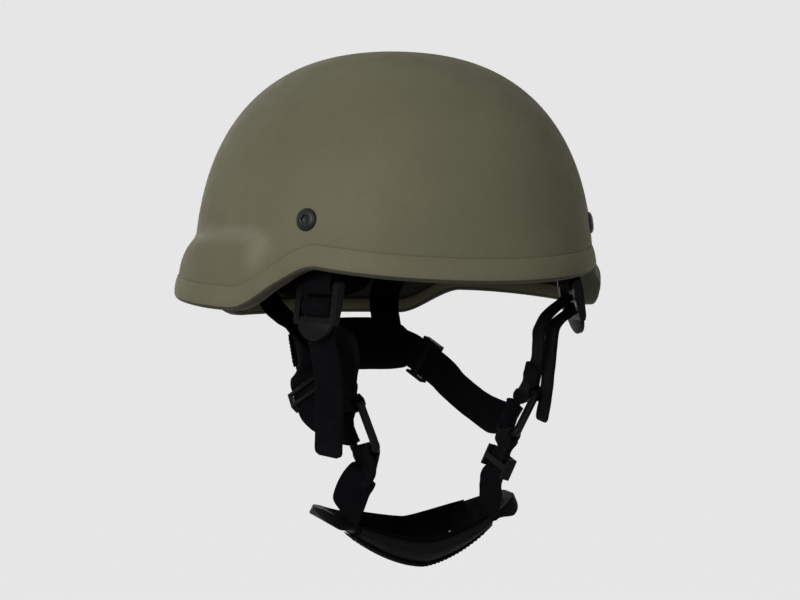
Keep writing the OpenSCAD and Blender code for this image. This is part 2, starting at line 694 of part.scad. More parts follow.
// Hook-and-loop discs glued inside the shell, one under each pad
module hook_discs() {
    disc_r = 22;
    color(black_plastic) {
        for (at = [front_pad_at, rear_pad_at])
            wall_lens([at[0], at[1], disc_r, disc_r], -shell_t - 0.1, hook_t, hook_t, 20, 2);
        for (at = [temple_pad_at, side_pad_at]) for (left = [true, false]) mirrored(left)
            wall_lens([at[0], at[1], disc_r, disc_r], -shell_t - 0.1, hook_t, hook_t, 20, 2);
        crown_lens(2 * disc_r, -shell_t - 0.5, hook_t, hook_t, 32, 4);
    }
}

shell();
edge_trim();
screws();
post_nuts();
front_anchor_right();
front_anchor_left();
rear_anchors();
ladder_lock_right();
ladder_lock_left();
lock_webbing_right();
lock_webbing_left();
front_strap_right();
front_strap_left();
front_tail_right();
front_tail_left();
junction_ring_right();
junction_ring_left();
side_strap_right();
side_strap_left();
side_slider_right();
side_slider_left();
rear_strap_right();
rear_strap_left();
nape_band();
nape_pad();
chin_strap_right();
chin_strap_left();
chin_slider();
chin_band();
chin_cup();
chin_cup_liner();
hook_discs();
crown_pad();
front_pad();
rear_pad();
temple_pad_right();
temple_pad_left();
side_pad_right();
side_pad_left();
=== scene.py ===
import math
import bpy
import bmesh
import numpy as np
from mathutils import Matrix, Vector


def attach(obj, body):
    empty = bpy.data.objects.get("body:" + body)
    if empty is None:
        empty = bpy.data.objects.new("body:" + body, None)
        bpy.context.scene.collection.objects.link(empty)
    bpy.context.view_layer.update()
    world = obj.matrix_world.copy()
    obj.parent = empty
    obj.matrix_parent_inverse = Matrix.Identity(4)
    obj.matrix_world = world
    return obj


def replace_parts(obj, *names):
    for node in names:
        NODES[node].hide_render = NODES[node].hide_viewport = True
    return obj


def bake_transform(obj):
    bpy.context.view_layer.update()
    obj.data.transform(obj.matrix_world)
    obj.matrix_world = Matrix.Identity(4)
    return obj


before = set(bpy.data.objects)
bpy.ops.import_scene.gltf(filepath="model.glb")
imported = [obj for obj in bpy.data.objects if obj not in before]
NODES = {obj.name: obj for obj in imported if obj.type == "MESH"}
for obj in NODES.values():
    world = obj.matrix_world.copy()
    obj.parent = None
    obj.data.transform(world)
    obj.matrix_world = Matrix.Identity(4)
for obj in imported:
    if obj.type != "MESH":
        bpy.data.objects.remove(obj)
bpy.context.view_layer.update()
MM = 0.001

# The helmet's sizes as in the CAD source, in millimetres. _A and LOCK_TILT are degrees and _N exponents,
# and each bolt is an angle from the front and a height.
HALF_W, FRONT, REAR, CROWN_H, SHELL_T = 118, 137, 127, 158, 8
EAR_OUT, EAR_CREST = 9.5, 44
BROW_Z, TEMPLE_Z, EAR_REAR_Z, NAPE_Z = 18, 24.5, 3, -13.5
TEMPLE_A, EAR_FRONT_A, EAR_END_A, NAPE_A = 43, 69, 131, 151
TRIM_H, TRIM_T = 12, 1.9
PAD_T, CROWN_R = 19, 64
WEB_W, SIDE_WEB_W, WEB_T = 20, 22, 1.5
NAPE_W, NAPE_H, NAPE_T = 84, 33, 10
CUP_W, CUP_DEPTH = 132, 15
PLAN_N, RISE_N, ROUND_N = 2.1, 2.75, 2.4
WALL_Z, CROWN_LEAN = -7, 1.8
FRONT_BOLT, REAR_BOLT = (46.4, 49.6), (153, 38)
LOCK_AT, LOCK_TILT = (80, -82.5, 13), 7
RING_W, ROD_R = 29, 2.4
HOOK_T = 1.3

# How far stitches lie above and below a tape's middle, on plain and on thicker places
LIFTS, HIGH_LIFTS = (0.8, -0.8), (0.85, -0.85)

# Chin cup
CUP_AT, CUP_HALF_Y, CUP_T, LINER_T = (0, -42, -135), 21, 3, 2.5
CUP_RISE, CUP_END_HALF, CUP_FALL = 16, 6, 3.5
# Its slots' place across, and its vents' places across and in height
SLOT_X, SLOT_W = 45, 4
VENTS = ((27, -141.5), (50, -128.5))

# Pairs for the wearer's right and left side, both given as on the left
LOCK_FACE = (64, 77)
RINGS = (((45.7, -70, -81), (54.7, -66, -55)), ((46.8, -70, -77.1), (62.4, -66, -54.3)))
ALONG_R, ALONG_L = (-0.44, -0.9, 0), (-0.22, -0.97, 0)
ALONG = (ALONG_R, ALONG_L)
BAR_WAY = (-0.07, -0.96, 0.26)
SIDE_LEAN, SIDE_FACE = (0.1, 0.28, 1), (-0.69, -0.33, 0.645)


def run(lean, *places):
    """Places along a strap that share one width direction."""
    return [(place, lean) for place in places]


# Straps from top to bottom or from the rear forwards: places and width directions
FRONT_RIGHT = [
    *run(ALONG_R, (77.6, -81.2, -7.4), (72.2, -79, -10), (65, -78.5, -16)),
    ((60.5, -75.5, -27), (-0.36, -0.93, 0)), ((58.6, -71.3, -38), (-0.22, -0.97, 0.1)),
    *run(BAR_WAY, (57.8, -67.6, -46.5), (56.2, -65.9, -51.8)),
]
FRONT_LEFT = [
    *run(ALONG_L, (74.3, -81.2, 1), (69.6, -80.1, -2.5), (65.8, -79, -6.7),
         (63, -77, -14.9), (64.2, -74, -24.7), (64.2, -70, -36.5)),
    *run(BAR_WAY, (63.4, -67.2, -45.5), (63, -66, -51.2)),
]
TAIL_RIGHT = run(ALONG_R, (80.7, -82.9, -8.4), (79.5, -82.4, -15), (75.8, -82, -30),
                 (73, -80, -50), (72.5, -78.3, -66), (72, -77, -82))
TAIL_LEFT = run(ALONG_L, (77, -81.8, -6), (73.6, -81.1, -8.4), (70.2, -81.4, -12.6), (68.6, -82, -18.5),
                (67.6, -82.2, -28), (66.8, -81.6, -38), (66, -80.8, -52), (63.4, -80, -68.2))
SIDE_RIGHT = [
    *run(SIDE_LEAN, (38, 58.5, -34), (40.3, 47, -36.7)),
    ((42.7, 36, -42.2), (-0.1, 0.14, 1)), ((44.2, 29, -46.7), (-0.45, -0.12, 0.85)),
    *run(SIDE_FACE, (45.4, 23, -49.9), (46.7, 16.5, -53.025), (48, 10, -56.15),
         (49.3, 3.5, -59.275), (50.6, -3, -62.4), (51.5, -10, -64.6)),
    ((52.2, -22, -66.8), (-0.4, -0.2, 0.85)), ((52.7, -36, -68), (0, 0, 1)),
    *run((0.32, 0.14, 0.93), (53.6, -46, -68.6), (54.9, -54.4, -68.9)),
]
SIDE_LEFT = [
    *run(SIDE_LEAN, (37.5, 58.5, -34), (41.2, 50.5, -36.6), (43.6, 43.5, -39.5), (46, 36.5, -42.9),
         (48.4, 29.5, -46.3), (50.9, 22.3, -50.6), (53.4, 14, -56.4), (55.4, 2, -61.8)),
    ((56.9, -10, -66.1), (0.1, 0.2, 1)), ((58, -23, -69.6), (0.2, 0.1, 1)),
    ((58.8, -35, -71.6), (0.4, 0.1, 0.9)), ((59.6, -46, -71), (0.55, 0.1, 0.8)),
    ((58.9, -54, -69.2), (0.55, 0.14, 0.8)),
]
REAR_ROUTE = [
    ((50.5, 97.8, 19), (0.87, -0.49, 0)), ((48.5, 98.6, 10), (0.88, -0.47, 0)), ((44, 98, 0), (0.9, -0.4, 0)),
    ((40, 91, -10), (0.97, -0.25, 0)), ((35.5, 79, -17), (1, -0.1, 0)),
    *run((1, 0, 0), (31.5, 69, -21), (29, 62.3, -26)),
]
CHIN_RIGHT = [
    ((45.4, -70.95, -84.6), BAR_WAY), ((45.2, -71.4, -88.6), (-0.2, -0.95, 0.2)),
    ((46, -69, -94.5), (-0.6, -0.8, 0)), *run((-0.8, -0.6, 0), (48.3, -64.5, -101), (50, -60, -107.5)),
    ((50, -55.5, -114.5), (-0.7, -0.7, 0)), ((48.2, -51.8, -121.5), (-0.35, -0.93, 0)),
    *run((0, -1, 0), (45.7, -49.9, -127.5), (44.9, -49.5, -131.5), (44.6, -49.3, -135.5)),
]
CHIN_LEFT = [
    ((46.4, -70.7, -80.5), BAR_WAY), ((45, -71, -83.5), (0, -0.98, 0.15)),
    *run((0.1, -1, 0), (43.4, -70.65, -86.4), (41.2, -69, -93), (39, -67.35, -99.6), (39, -64.6, -105),
         (40.6, -61, -110.5)),
    ((42.4, -56.5, -117), (0.05, -1, 0)),
    *run((0, -1, 0), (44, -52.3, -124), (44.8, -50, -130), (44.6, -49.3, -135.5)),
]

# Webbing inside the locks, right and left: place across the lock's face and up it
LOCK_OVER = [(0.4, -6.7), (-2.2, -8.8), (-2.6, -12.4), (-1.2, -14.9)]
LOCK_ROUTES = (
    [(4.4, -18), (4, -12), (3.2, -8.6)] + LOCK_OVER + [(1.4, -16.4), (1.9, -19.6)],
    [(6.1, -10.4), (4.6, -9.5), (3, -8)] + LOCK_OVER + [(1.5, -16.3), (4.2, -17.7)],
)
NAPE_ROUTE = [(-41, 58, -35.5), (-28, 61.5, -33), (0, 63.5, -32), (28, 61.5, -33), (41, 58, -35.5)]

# Wall pads: angle from the front, height, half width, half height
FRONT_PAD, REAR_PAD = (0, 62, 58, 30), (180, 29, 42, 34)
TEMPLE_PAD, SIDE_PAD = (72, 68, 34, 27), (124, 44, 33, 32)
PAD_BASE = -SHELL_T - HOOK_T - 0.3

# The photograph's view: degrees, millimetres to the origin, its place across and up, lens
VIEW_AZ, VIEW_EL, VIEW_ROLL = 25.736, 3.275, 0.72
VIEW_FAR, VIEW_X, VIEW_Y, LENS = 941.6, -7.32, 0.08, 68.4
BACKDROP, FLOOR_Z = (0.812, 0.812, 0.812), -950.0
LAMPS = (
    ("key", (-2.5, -1.55, 1.05), 1.3, 60), ("front", (-0.5, -2.7, 0.9), 1.8, 8),
    ("rim", (-0.9, 2.2, 2.0), 1.6, 4), ("back", (0.6, 2.9, 0.3), 1.8, 18),
)


def mix(a, b, t):
    return a + (b - a) * t


def soft(t):
    c = np.clip(t, 0, 1)
    return c * c * (3 - 2 * c)


def unit(v):
    v = np.asarray(v, float)
    return v / np.maximum(np.linalg.norm(v, axis=-1, keepdims=True), 1e-12)


def sind(a):
    return np.sin(np.radians(a))


def cosd(a):
    return np.cos(np.radians(a))


def plan_r(a, off):
    length = np.where(cosd(a) > 0, FRONT, REAR) + off
    return (np.abs(sind(a) / (HALF_W + off)) ** PLAN_N + np.abs(cosd(a) / length) ** PLAN_N) ** (-1 / PLAN_N)


def draw_in(z, off):
    s = np.clip((z - WALL_Z) / (CROWN_H + off), 0, 1)
    return (1 - s ** RISE_N) ** (1 / ROUND_N)


def crest_z(b):
    """Height of the ear cover's crest, b degrees from the front: it falls off to the front and the rear."""
    front_fall = 18 * (np.maximum(66 - b, 0) / 15) ** 2
    rear_fall = 18 * (np.maximum(b - 70, 0) / 75) ** 2
    return EAR_CREST - front_fall - rear_fall


def ear_swell(a, z):
    """How far the ear cover stands out: a soft shoulder below its crest, crisper over the ear."""
    b = np.abs(a)
    below = np.maximum(crest_z(b) - z, 0)
    share = 0.4 * soft((b - 50) / 7) + 0.6 * soft((b - 52) / 32)
    crisp = 0.5 * soft((b - 52) / 8) * soft((118 - b) / 30)
    rise = mix(1 - np.exp(-((below / 11.2) ** 1.4)), 1 - np.exp(-((below / 4.6) ** 2)), crisp)
    return EAR_OUT * share * soft((147 - b) / 24) * rise


def face(a, z, off):
    """Point of the shell at an angle from the front and a height, off millimetres outside its outer face."""
    a, z = np.broadcast_arrays(np.asarray(a, float), np.asarray(z, float))
    r = plan_r(a, off) * draw_in(z, off) + ear_swell(a, z)
    return np.stack([r * sind(a), -r * cosd(a) - CROWN_LEAN * np.maximum(z - WALL_Z, 0) / CROWN_H, z], -1)


def outward(a, z):
    return unit(np.cross(face(a + 1, z, 0) - face(a - 1, z, 0), face(a, z + 1, 0) - face(a, z - 1, 0)))


def rim_z(a):
    b = np.abs(np.asarray(a, float))
    brow = BROW_Z + (TEMPLE_Z - BROW_Z) * (b / TEMPLE_A) ** 2
    dip = mix(TEMPLE_Z, 0, soft((b - TEMPLE_A) / (EAR_FRONT_A - TEMPLE_A)))
    ear = mix(0, EAR_REAR_Z, soft((b - EAR_FRONT_A) / (EAR_END_A - EAR_FRONT_A)))
    nape = mix(EAR_REAR_Z, NAPE_Z, soft((b - EAR_END_A) / (NAPE_A - EAR_END_A)))
    return np.where(b < TEMPLE_A, brow, np.where(b < EAR_FRONT_A, dip, np.where(b < EAR_END_A, ear, nape)))


def curve(points, sub):
    """Smooth curve through control values, sub steps between each pair."""
    c = np.asarray(points, float)
    out = []
    for i in range(len(c) - 1):
        a, b, d, e = c[max(i - 1, 0)], c[i], c[i + 1], c[min(i + 2, len(c) - 1)]
        for s in range(sub):
            t = s / sub
            out.append(0.5 * (2 * b + (d - a) * t + (2 * a - 5 * b + 4 * d - e) * t * t
                              + (3 * b - a - 3 * d + e) * t * t * t))
    out.append(c[-1])
    return np.array(out)


def run_length(points):
    """Distance along a line of points, from 0 at its start."""
    return np.concatenate([[0], np.cumsum(np.linalg.norm(np.diff(points, axis=0), axis=1))])


def sample(at, s, values):
    """Points or directions given at the distances s, read at other distances."""
    return np.stack([np.interp(at, s, values[:, i]) for i in range(3)], -1)


def on_shell(at):
    """Frame on the shell's face at an angle and a height, its -Y pointing outwards."""
    n = outward(*at)
    turn = Matrix.Rotation(math.atan2(n[0], -n[1]), 4, "Z") @ Matrix.Rotation(-math.asin(n[2]), 4, "X")
    return Matrix.Translation(Vector(face(at[0], at[1], 0))) @ turn


def at_lock(left, tilt):
    turn = Matrix.Rotation(math.radians(LOCK_FACE[left]), 4, "Z")
    turn = turn @ Matrix.Rotation(-math.radians(tilt), 4, "X")
    return Matrix.Translation(Vector(LOCK_AT)) @ turn


def moved(m, points):
    a = np.array(m)
    return np.asarray(points, float).reshape(-1, 3) @ a[:3, :3].T + a[:3, 3]


# Node materials


class Nodes:
    """Short calls for the nodes that the surfaces and the world here use."""

    def __init__(self, owner):
        owner.use_nodes = True
        self.tree = owner.node_tree

    def node(self, kind, **inputs):
        n = self.tree.nodes.new(kind)
        for key, value in inputs.items():
            self.put(value, n.inputs[key.replace("_", " ")])
        return n

    def put(self, value, socket):
        if isinstance(value, bpy.types.NodeSocket):
            self.tree.links.new(value, socket)
        else:
            socket.default_value = value

    def place(self):
        return self.node("ShaderNodeTexCoord").outputs["Object"]

    def noise(self, scale, detail, rough=0.55):
        n = self.node("ShaderNodeTexNoise", Vector=self.place(), Scale=scale, Detail=detail, Roughness=rough)
        return n.outputs["Fac"]

    def cells(self, scale, feature="F1"):
        n = self.node("ShaderNodeTexVoronoi", Vector=self.place(), Scale=scale)
        n.feature = feature
        return n.outputs["Distance"]

    def math(self, operation, a, b=0.0):
        n = self.tree.nodes.new("ShaderNodeMath")
        n.operation = operation
        self.put(a, n.inputs[0])
        self.put(b, n.inputs[1])
        return n.outputs[0]

    def span(self, value, low, high, to_low=0.0, to_high=1.0):
        n = self.node("ShaderNodeMapRange", Value=value, From_Min=low, From_Max=high,
                      To_Min=to_low, To_Max=to_high)
        return n.outputs["Result"]

    def blend(self, share, a, b):
        n = self.tree.nodes.new("ShaderNodeMix")
        n.data_type = "RGBA"
        self.put(share, n.inputs["Factor"])
        for value, socket in ((a, n.inputs[6]), (b, n.inputs[7])):
            self.put((*value, 1.0) if isinstance(value, tuple) else value, socket)
        return n.outputs[2]

    def bump(self, height, distance, strength, under=None):
        n = self.node("ShaderNodeBump", Height=height, Distance=distance, Strength=strength)
        if under is not None:
            self.put(under, n.inputs["Normal"])
        return n.outputs["Normal"]

    def show(self, share, plain, shown, output):
        """Sends a mix of two shaders to the tree's output."""
        n = self.node("ShaderNodeMixShader")
        for value, socket in zip((share, plain.outputs[0], shown.outputs[0]), n.inputs):
            self.put(value, socket)
        self.put(n.outputs[0], self.tree.nodes[output].inputs["Surface"])

    def seen(self):
        """1 for the rays that show the background: to the camera, in a gloss or through something clear."""
        path = self.node("ShaderNodeLightPath")
        both = self.math("MAXIMUM", path.outputs["Is Camera Ray"], path.outputs["Is Glossy Ray"])
        return self.math("MAXIMUM", both, path.outputs["Is Transmission Ray"])


class Shader(Nodes):
    """A material round one Principled shader, whose uniform values are given by name."""

    def __init__(self, name, **settings):
        self.mat = bpy.data.materials.new(name)
        super().__init__(self.mat)
        self.bsdf = self.tree.nodes["Principled BSDF"]
        for key, value in settings.items():
            self.bsdf.inputs[key.replace("_", " ")].default_value = value

    def done(self, color, rough, normal):
        for value, key in ((color, "Base Color"), (rough, "Roughness"), (normal, "Normal")):
            self.put(value, self.bsdf.inputs[key])
        return self.mat


def tint(color, *factors):
    """A colour times one factor, or times one for each channel."""
    return tuple(c * k for c, k in zip(color, factors * 3))


def coating(name, light, dark, grain, scuff, crest=False):
    """Matt sprayed coating with a fine sandy grain, faint mottling, pale rubs and, if crest is set, a painted
    highlight along the ear covers' crest.
    """
    s = Shader(name, Specular_IOR_Level=0.06)
    mottle = s.noise(14, 5)
    color = s.blend(s.span(mottle, 0.35, 0.65), dark, light)
    speck = s.span(s.noise(1400, 2), 0.55, 0.75)
    color = s.blend(s.math("MULTIPLY", speck, 0.35), color, tint(light, 1.5))
    rub = s.math("MULTIPLY", s.span(s.noise(38, 6, 0.7), 0.64, 0.72), s.span(s.noise(420, 3), 0.5, 0.62))
    color = s.blend(s.math("MULTIPLY", rub, scuff), color, tint(light, 1.8))
    if crest:
        # Painted highlight: the coating turns paler and less yellow where the point attribute marks the ear
        # covers' crest.
        highlight_node = s.tree.nodes.new("ShaderNodeAttribute")
        highlight_node.attribute_name = "wear_and_painted_highlight"
        share = s.math("MULTIPLY", highlight_node.outputs["Fac"], s.span(s.noise(60, 3), 0.3, 0.7, 0.75, 1.0))
        color = s.blend(share, color, tint(light, 1.42, 1.42, 1.6))
    fine = s.bump(s.noise(1100, 3, 0.6), 0.00035, grain)
    normal = s.bump(s.noise(55, 2), 0.0006, 0.25, fine)
    return s.done(color, s.span(s.noise(90, 3), 0.3, 0.7, 0.56, 0.68), normal)


def webbing(name, light, dark, rib=0.0019, pick=0.0022):
    """Woven nylon tape: ribs along it every rib metres, crossed every pick metres, faintly faded."""
    s = Shader(name, Sheen_Weight=0.01, Sheen_Roughness=0.45, Specular_IOR_Level=0.015)
    part = s.node("ShaderNodeSeparateXYZ", Vector=s.node("ShaderNodeUVMap").outputs["UV"])
    warp = s.math("SINE", s.math("MULTIPLY", part.outputs[0], 2 * math.pi / rib))
    down = s.math("MULTIPLY", part.outputs[1], 2 * math.pi / pick)
    weft = s.math("SINE", s.math("ADD", down, s.math("MULTIPLY", s.math("SIGN", warp), math.pi / 2)))
    height = s.math("MULTIPLY", s.math("ABSOLUTE", warp), s.span(weft, -1.0, 1.0, 0.35, 1.0))
    fuzz = s.noise(2600, 2, 0.6)
    height = s.math("ADD", height, s.math("MULTIPLY", fuzz, 0.35))
    fade = s.span(s.noise(60, 4), 0.35, 0.7, 0.0, 0.3)
    color = s.blend(s.span(height, 0.25, 1.1), dark, light)
    color = s.blend(fade, color, tint(light, 1.4))
    return s.done(color, s.span(height, 0.2, 1.2, 0.9, 0.72), s.bump(height, 0.00022, 0.9))


def loop_cloth(name, light, dark, scale=1500):
    """Brushed loop cloth: short fuzzy tufts over a knit, with soft patches."""
    s = Shader(name, Sheen_Weight=0.01, Sheen_Roughness=0.5, Specular_IOR_Level=0.01)
    tuft = s.cells(scale)
    fuzz = s.noise(2400, 3, 0.7)
    height = s.math("ADD", s.span(tuft, 0.0, 0.6, 1.0, 0.0), s.math("MULTIPLY", fuzz, 0.7))
    color = s.blend(s.span(height, 0.5, 1.5), dark, light)
    color = s.blend(s.span(s.noise(45, 4), 0.4, 0.7, 0.0, 0.4), color, tint(light, 1.5))
    normal = s.bump(height, 0.0004, 0.8, s.bump(s.noise(120, 3), 0.0012, 0.35))
    return s.done(color, s.span(height, 0.4, 1.6, 0.95, 0.8), normal)


def leather(name):
    """Grained leather: pores, wide creases and rubbed patches."""
    s = Shader(name, Specular_IOR_Level=0.06)
    grain = s.cells(520, "DISTANCE_TO_EDGE")
    pores = s.span(grain, 0.0, 0.12)
    crease = s.cells(70, "DISTANCE_TO_EDGE")
    color = s.blend(pores, (0.0014, 0.0014, 0.0017), (0.0045, 0.0044, 0.005))
    color = s.blend(s.span(s.noise(40, 4), 0.5, 0.75, 0.0, 0.5), color, (0.0085, 0.0082, 0.0082))
    normal = s.bump(s.span(crease, 0.0, 0.05), 0.0003, 0.3, s.bump(pores, 0.0002, 0.55))
    return s.done(color, s.span(s.noise(130, 3), 0.3, 0.7, 0.5, 0.66), normal)


def moulded(name, light, rough):
    """Moulded nylon: spark-eroded grain, faint flow marks, rubbed paler in places."""
    s = Shader(name, Specular_IOR_Level=0.06)
    rub = s.math("MULTIPLY", s.span(s.noise(210, 4, 0.7), 0.55, 0.7), 0.5)
    color = s.blend(rub, light, tint(light, 1.7))
    normal = s.bump(s.noise(2200, 2), 0.00012, 0.5, s.bump(s.noise(160, 2), 0.0002, 0.3))
    return s.done(color, s.span(s.noise(300, 3), 0.3, 0.7, rough - 0.06, rough + 0.1), normal)


def black_steel(name):
    """Blackened steel with small bright rubs."""
    s = Shader(name, Specular_IOR_Level=0.2)
    wear_and_painted_highlight = s.math("MULTIPLY", s.span(s.noise(900, 4, 0.7), 0.58, 0.7), 0.7)
    color = s.blend(wear_and_painted_highlight, (0.006, 0.006, 0.0072), (0.03, 0.029, 0.028))
    return s.done(color, s.span(s.noise(400, 3), 0.3, 0.7, 0.34, 0.5), s.bump(s.noise(1500, 2), 0.0001, 0.4))


def thread(name):
    """Twisted sewing thread."""
    s = Shader(name, Sheen_Weight=0.01, Specular_IOR_Level=0.02)
    color = s.blend(s.noise(3000, 2), (0.003, 0.003, 0.004), (0.011, 0.011, 0.0125))
    return s.done(color, s.span(s.noise(800, 2), 0.3, 0.7, 0.6, 0.75), s.bump(s.noise(4000, 2), 0.0001, 0.6))


def hook_tape(name):
    """Tape with rows of small plastic hooks."""
    s = Shader(name, Specular_IOR_Level=0.1)
    dots = s.span(s.cells(900), 0.1, 0.35, 1.0, 0.0)
    color = s.blend(dots, (0.003, 0.003, 0.003), (0.011, 0.011, 0.012))
    return s.done(color, s.span(dots, 0.0, 1.0, 0.8, 0.5), s.bump(dots, 0.0005, 0.8))


OLIVE_LIGHT, OLIVE_DARK = (0.147, 0.141, 0.089), (0.128, 0.122, 0.077)
SHELL_MAT = coating("shell_coating", OLIVE_LIGHT, OLIVE_DARK, 0.55, 0.25, True)
# Darker copy of the same olive coating for the shell's inner face: painted shade.
SHADED_INSIDE_MAT = coating("shell_inside_painted_shade", (0.045, 0.043, 0.031), (0.034, 0.0325, 0.024), 0.4, 0.1)
TRIM_MAT = coating("edge_rubber", (0.152, 0.146, 0.092), (0.134, 0.128, 0.081), 0.3, 0.4)
# Darker copy of the edge rubber for the channel's underside: painted shade.
SHADED_LIP_MAT = coating("edge_rubber_under_painted_shade", (0.062, 0.059, 0.04), (0.046, 0.044, 0.03), 0.3, 0.3)
STEEL_MAT = black_steel("black_steel")
PLASTIC_MAT = moulded("harness_plastic", (0.0048, 0.0049, 0.0056), 0.4)
RING_MAT = moulded("ring_plastic", (0.0055, 0.0055, 0.0065), 0.28)
WEB_MAT = webbing("webbing", (0.0056, 0.0058, 0.007), (0.0014, 0.0015, 0.0019))
PAD_MAT = loop_cloth("pad_cloth", (0.0062, 0.0063, 0.0074), (0.0015, 0.0015, 0.002))
NAPE_MAT = loop_cloth("nape_cloth", (0.0056, 0.0057, 0.0068), (0.0014, 0.0014, 0.0018), 1900)
LINING_MAT = loop_cloth("cup_lining", (0.0058, 0.0058, 0.0064), (0.0014, 0.0014, 0.0015), 2200)
LEATHER_MAT = leather("cup_leather")
THREAD_MAT = thread("sewing_thread")
HOOK_MAT = hook_tape("hook_tape")


# Mesh building


def placed(name, data):
    """Object with this data, in the scene."""
    obj = bpy.data.objects.new(name, data)
    bpy.context.scene.collection.objects.link(obj)
    return obj


def make(name, points, faces, mats, body=None, uvs=None, mat_of=None):
    """Mesh piece from points in millimetres, smooth shaded, with one UV pair for each point if given."""
    mesh = bpy.data.meshes.new(name)
    p = np.asarray(points, float) * MM
    mesh.from_pydata(p.tolist(), [], [list(map(int, f)) for f in faces])
    mesh.shade_smooth()
    for m in mats if isinstance(mats, tuple) else (mats,):
        mesh.materials.append(m)
    if mat_of is not None:
        mesh.polygons.foreach_set("material_index", [int(v) for v in mat_of])
    if uvs is not None:
        layer = mesh.uv_layers.new(name="UVMap")
        index = np.empty(len(mesh.loops), np.int64)
        mesh.loops.foreach_get("vertex_index", index)
        layer.data.foreach_set("uv", np.asarray(uvs, float)[index].ravel())
    mesh.validate()
    mesh.update()
    obj = placed(name, mesh)
    if body:
        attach(obj, body)
    return obj


def outside(obj):
    """Turns every face of a closed mesh outwards."""
    bm = bmesh.new()
    bm.from_mesh(obj.data)
    bmesh.ops.recalc_face_normals(bm, faces=bm.faces)
    bm.to_mesh(obj.data)
    bm.free()
    obj.data.update()
    return obj


def sharpen(obj):
    """Keeps the edges of more than 50 degrees crisp."""
    obj.data.set_sharp_from_angle(angle=math.radians(50))
    return obj


def grid_faces(rows, cols, wrap_rows=False, wrap_cols=False, first=0):
    """Quads of a grid of points whose numbers start at first, closed round either way if asked."""
    out = []
    for i in range(rows if wrap_rows else rows - 1):
        for j in range(cols if wrap_cols else cols - 1):
            p, q = i * cols, (i + 1) % rows * cols
            k = (j + 1) % cols
            out.append((first + p + j, first + p + k, first + q + k, first + q + j))
    return out


def tube_faces(rows, cols, first=0):
    """Faces of rings of points, closed at both ends."""
    ends = [tuple(range(first + k, first + k + cols)) for k in (0, (rows - 1) * cols)]
    return grid_faces(rows, cols, wrap_cols=True, first=first) + ends


def angles(n):
    """Even steps round a circle."""
    return np.arange(n) * 2 * math.pi / n


def circle(radius, y, t):
    """Ring round the Y axis at the angles t."""
    return np.stack([radius * np.cos(t), np.full(len(t), y), radius * np.sin(t)], -1)


def squared(value, power):
    """A cosine or sine raised to a power with its sign kept: below 1 it turns a circle into a rounded box."""
    return np.copysign(np.abs(value) ** power, value)


def mirror_x(points, left):
    """Points given as on the wearer's left, or mirrored to the right."""
    p = np.array(points, float)
    if not left:
        p[..., 0] *= -1
    return p


def side_name(left):
    return "left" if left else "right"


# Shell and edging


def build_shell():
    """Shell with its outer and inner face, and how strong the painted highlight on its coating is at each
    point.
    """
    n, rows = 240, 56
    a = np.arange(n) * 360 / n - 180
    points = []
    for off in (0, -SHELL_T):
        low = np.degrees(np.arcsin((rim_z(a) - WALL_Z) / (CROWN_H + off)))
        for i in range(rows):
            t = i / rows
            z = WALL_Z + (CROWN_H + off) * sind(mix(low, 90, t))
            points.append(face(a, rim_z(a) if i == 0 else z, off))
    top = [[0, -CROWN_LEAN, WALL_Z + CROWN_H + off] for off in (0, -SHELL_T)]
    points = np.concatenate([np.concatenate(points), top])
    first, apex = n * rows, 2 * n * rows
    faces = grid_faces(rows, n, wrap_cols=True) + grid_faces(rows, n, wrap_cols=True, first=first)
    inner = [0] * ((rows - 1) * n) + [1] * ((rows - 1) * n)
    for j in range(n):
        k = (j + 1) % n
        faces.append((first - n + j, first - n + k, apex))
        faces.append((apex - n + j, apex - n + k, apex + 1))
        faces.append((j, k, first + k, first + j))
        inner += [0, 1, 0]
    # The inner face takes the darker copy of the coating: painted shade.
    mats = (SHELL_MAT, SHADED_INSIDE_MAT)
    obj = make("shell_body", points, faces, mats, "helmet", mat_of=inner)
    # This point attribute carries the painted highlight along the ear covers' crest and round their front
    # corner.
    layer = obj.data.attributes.new("wear_and_painted_highlight", "FLOAT", "POINT")
    layer.data.foreach_set("value", painted_crest_highlight(points).astype(np.float32))
    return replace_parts(outside(obj), "shell")


def painted_crest_highlight(points):
    """How strong the painted highlight on the coating is along the crest of the ear covers and round their
    front corner.
    """
    b = np.abs(np.degrees(np.arctan2(points[:, 0], -points[:, 1])))
    down = crest_z(b) - points[:, 2]
    band = np.exp(-((down - 3) / 3.6) ** 2) * soft((b - 53) / 9) * soft((112 - b) / 24)
    corner = np.exp(-((b - 61) / 3.4) ** 2) * np.exp(-((points[:, 2] - 30) / 8) ** 2)
    return np.clip(band + 0.9 * corner, 0, 1) * 0.85


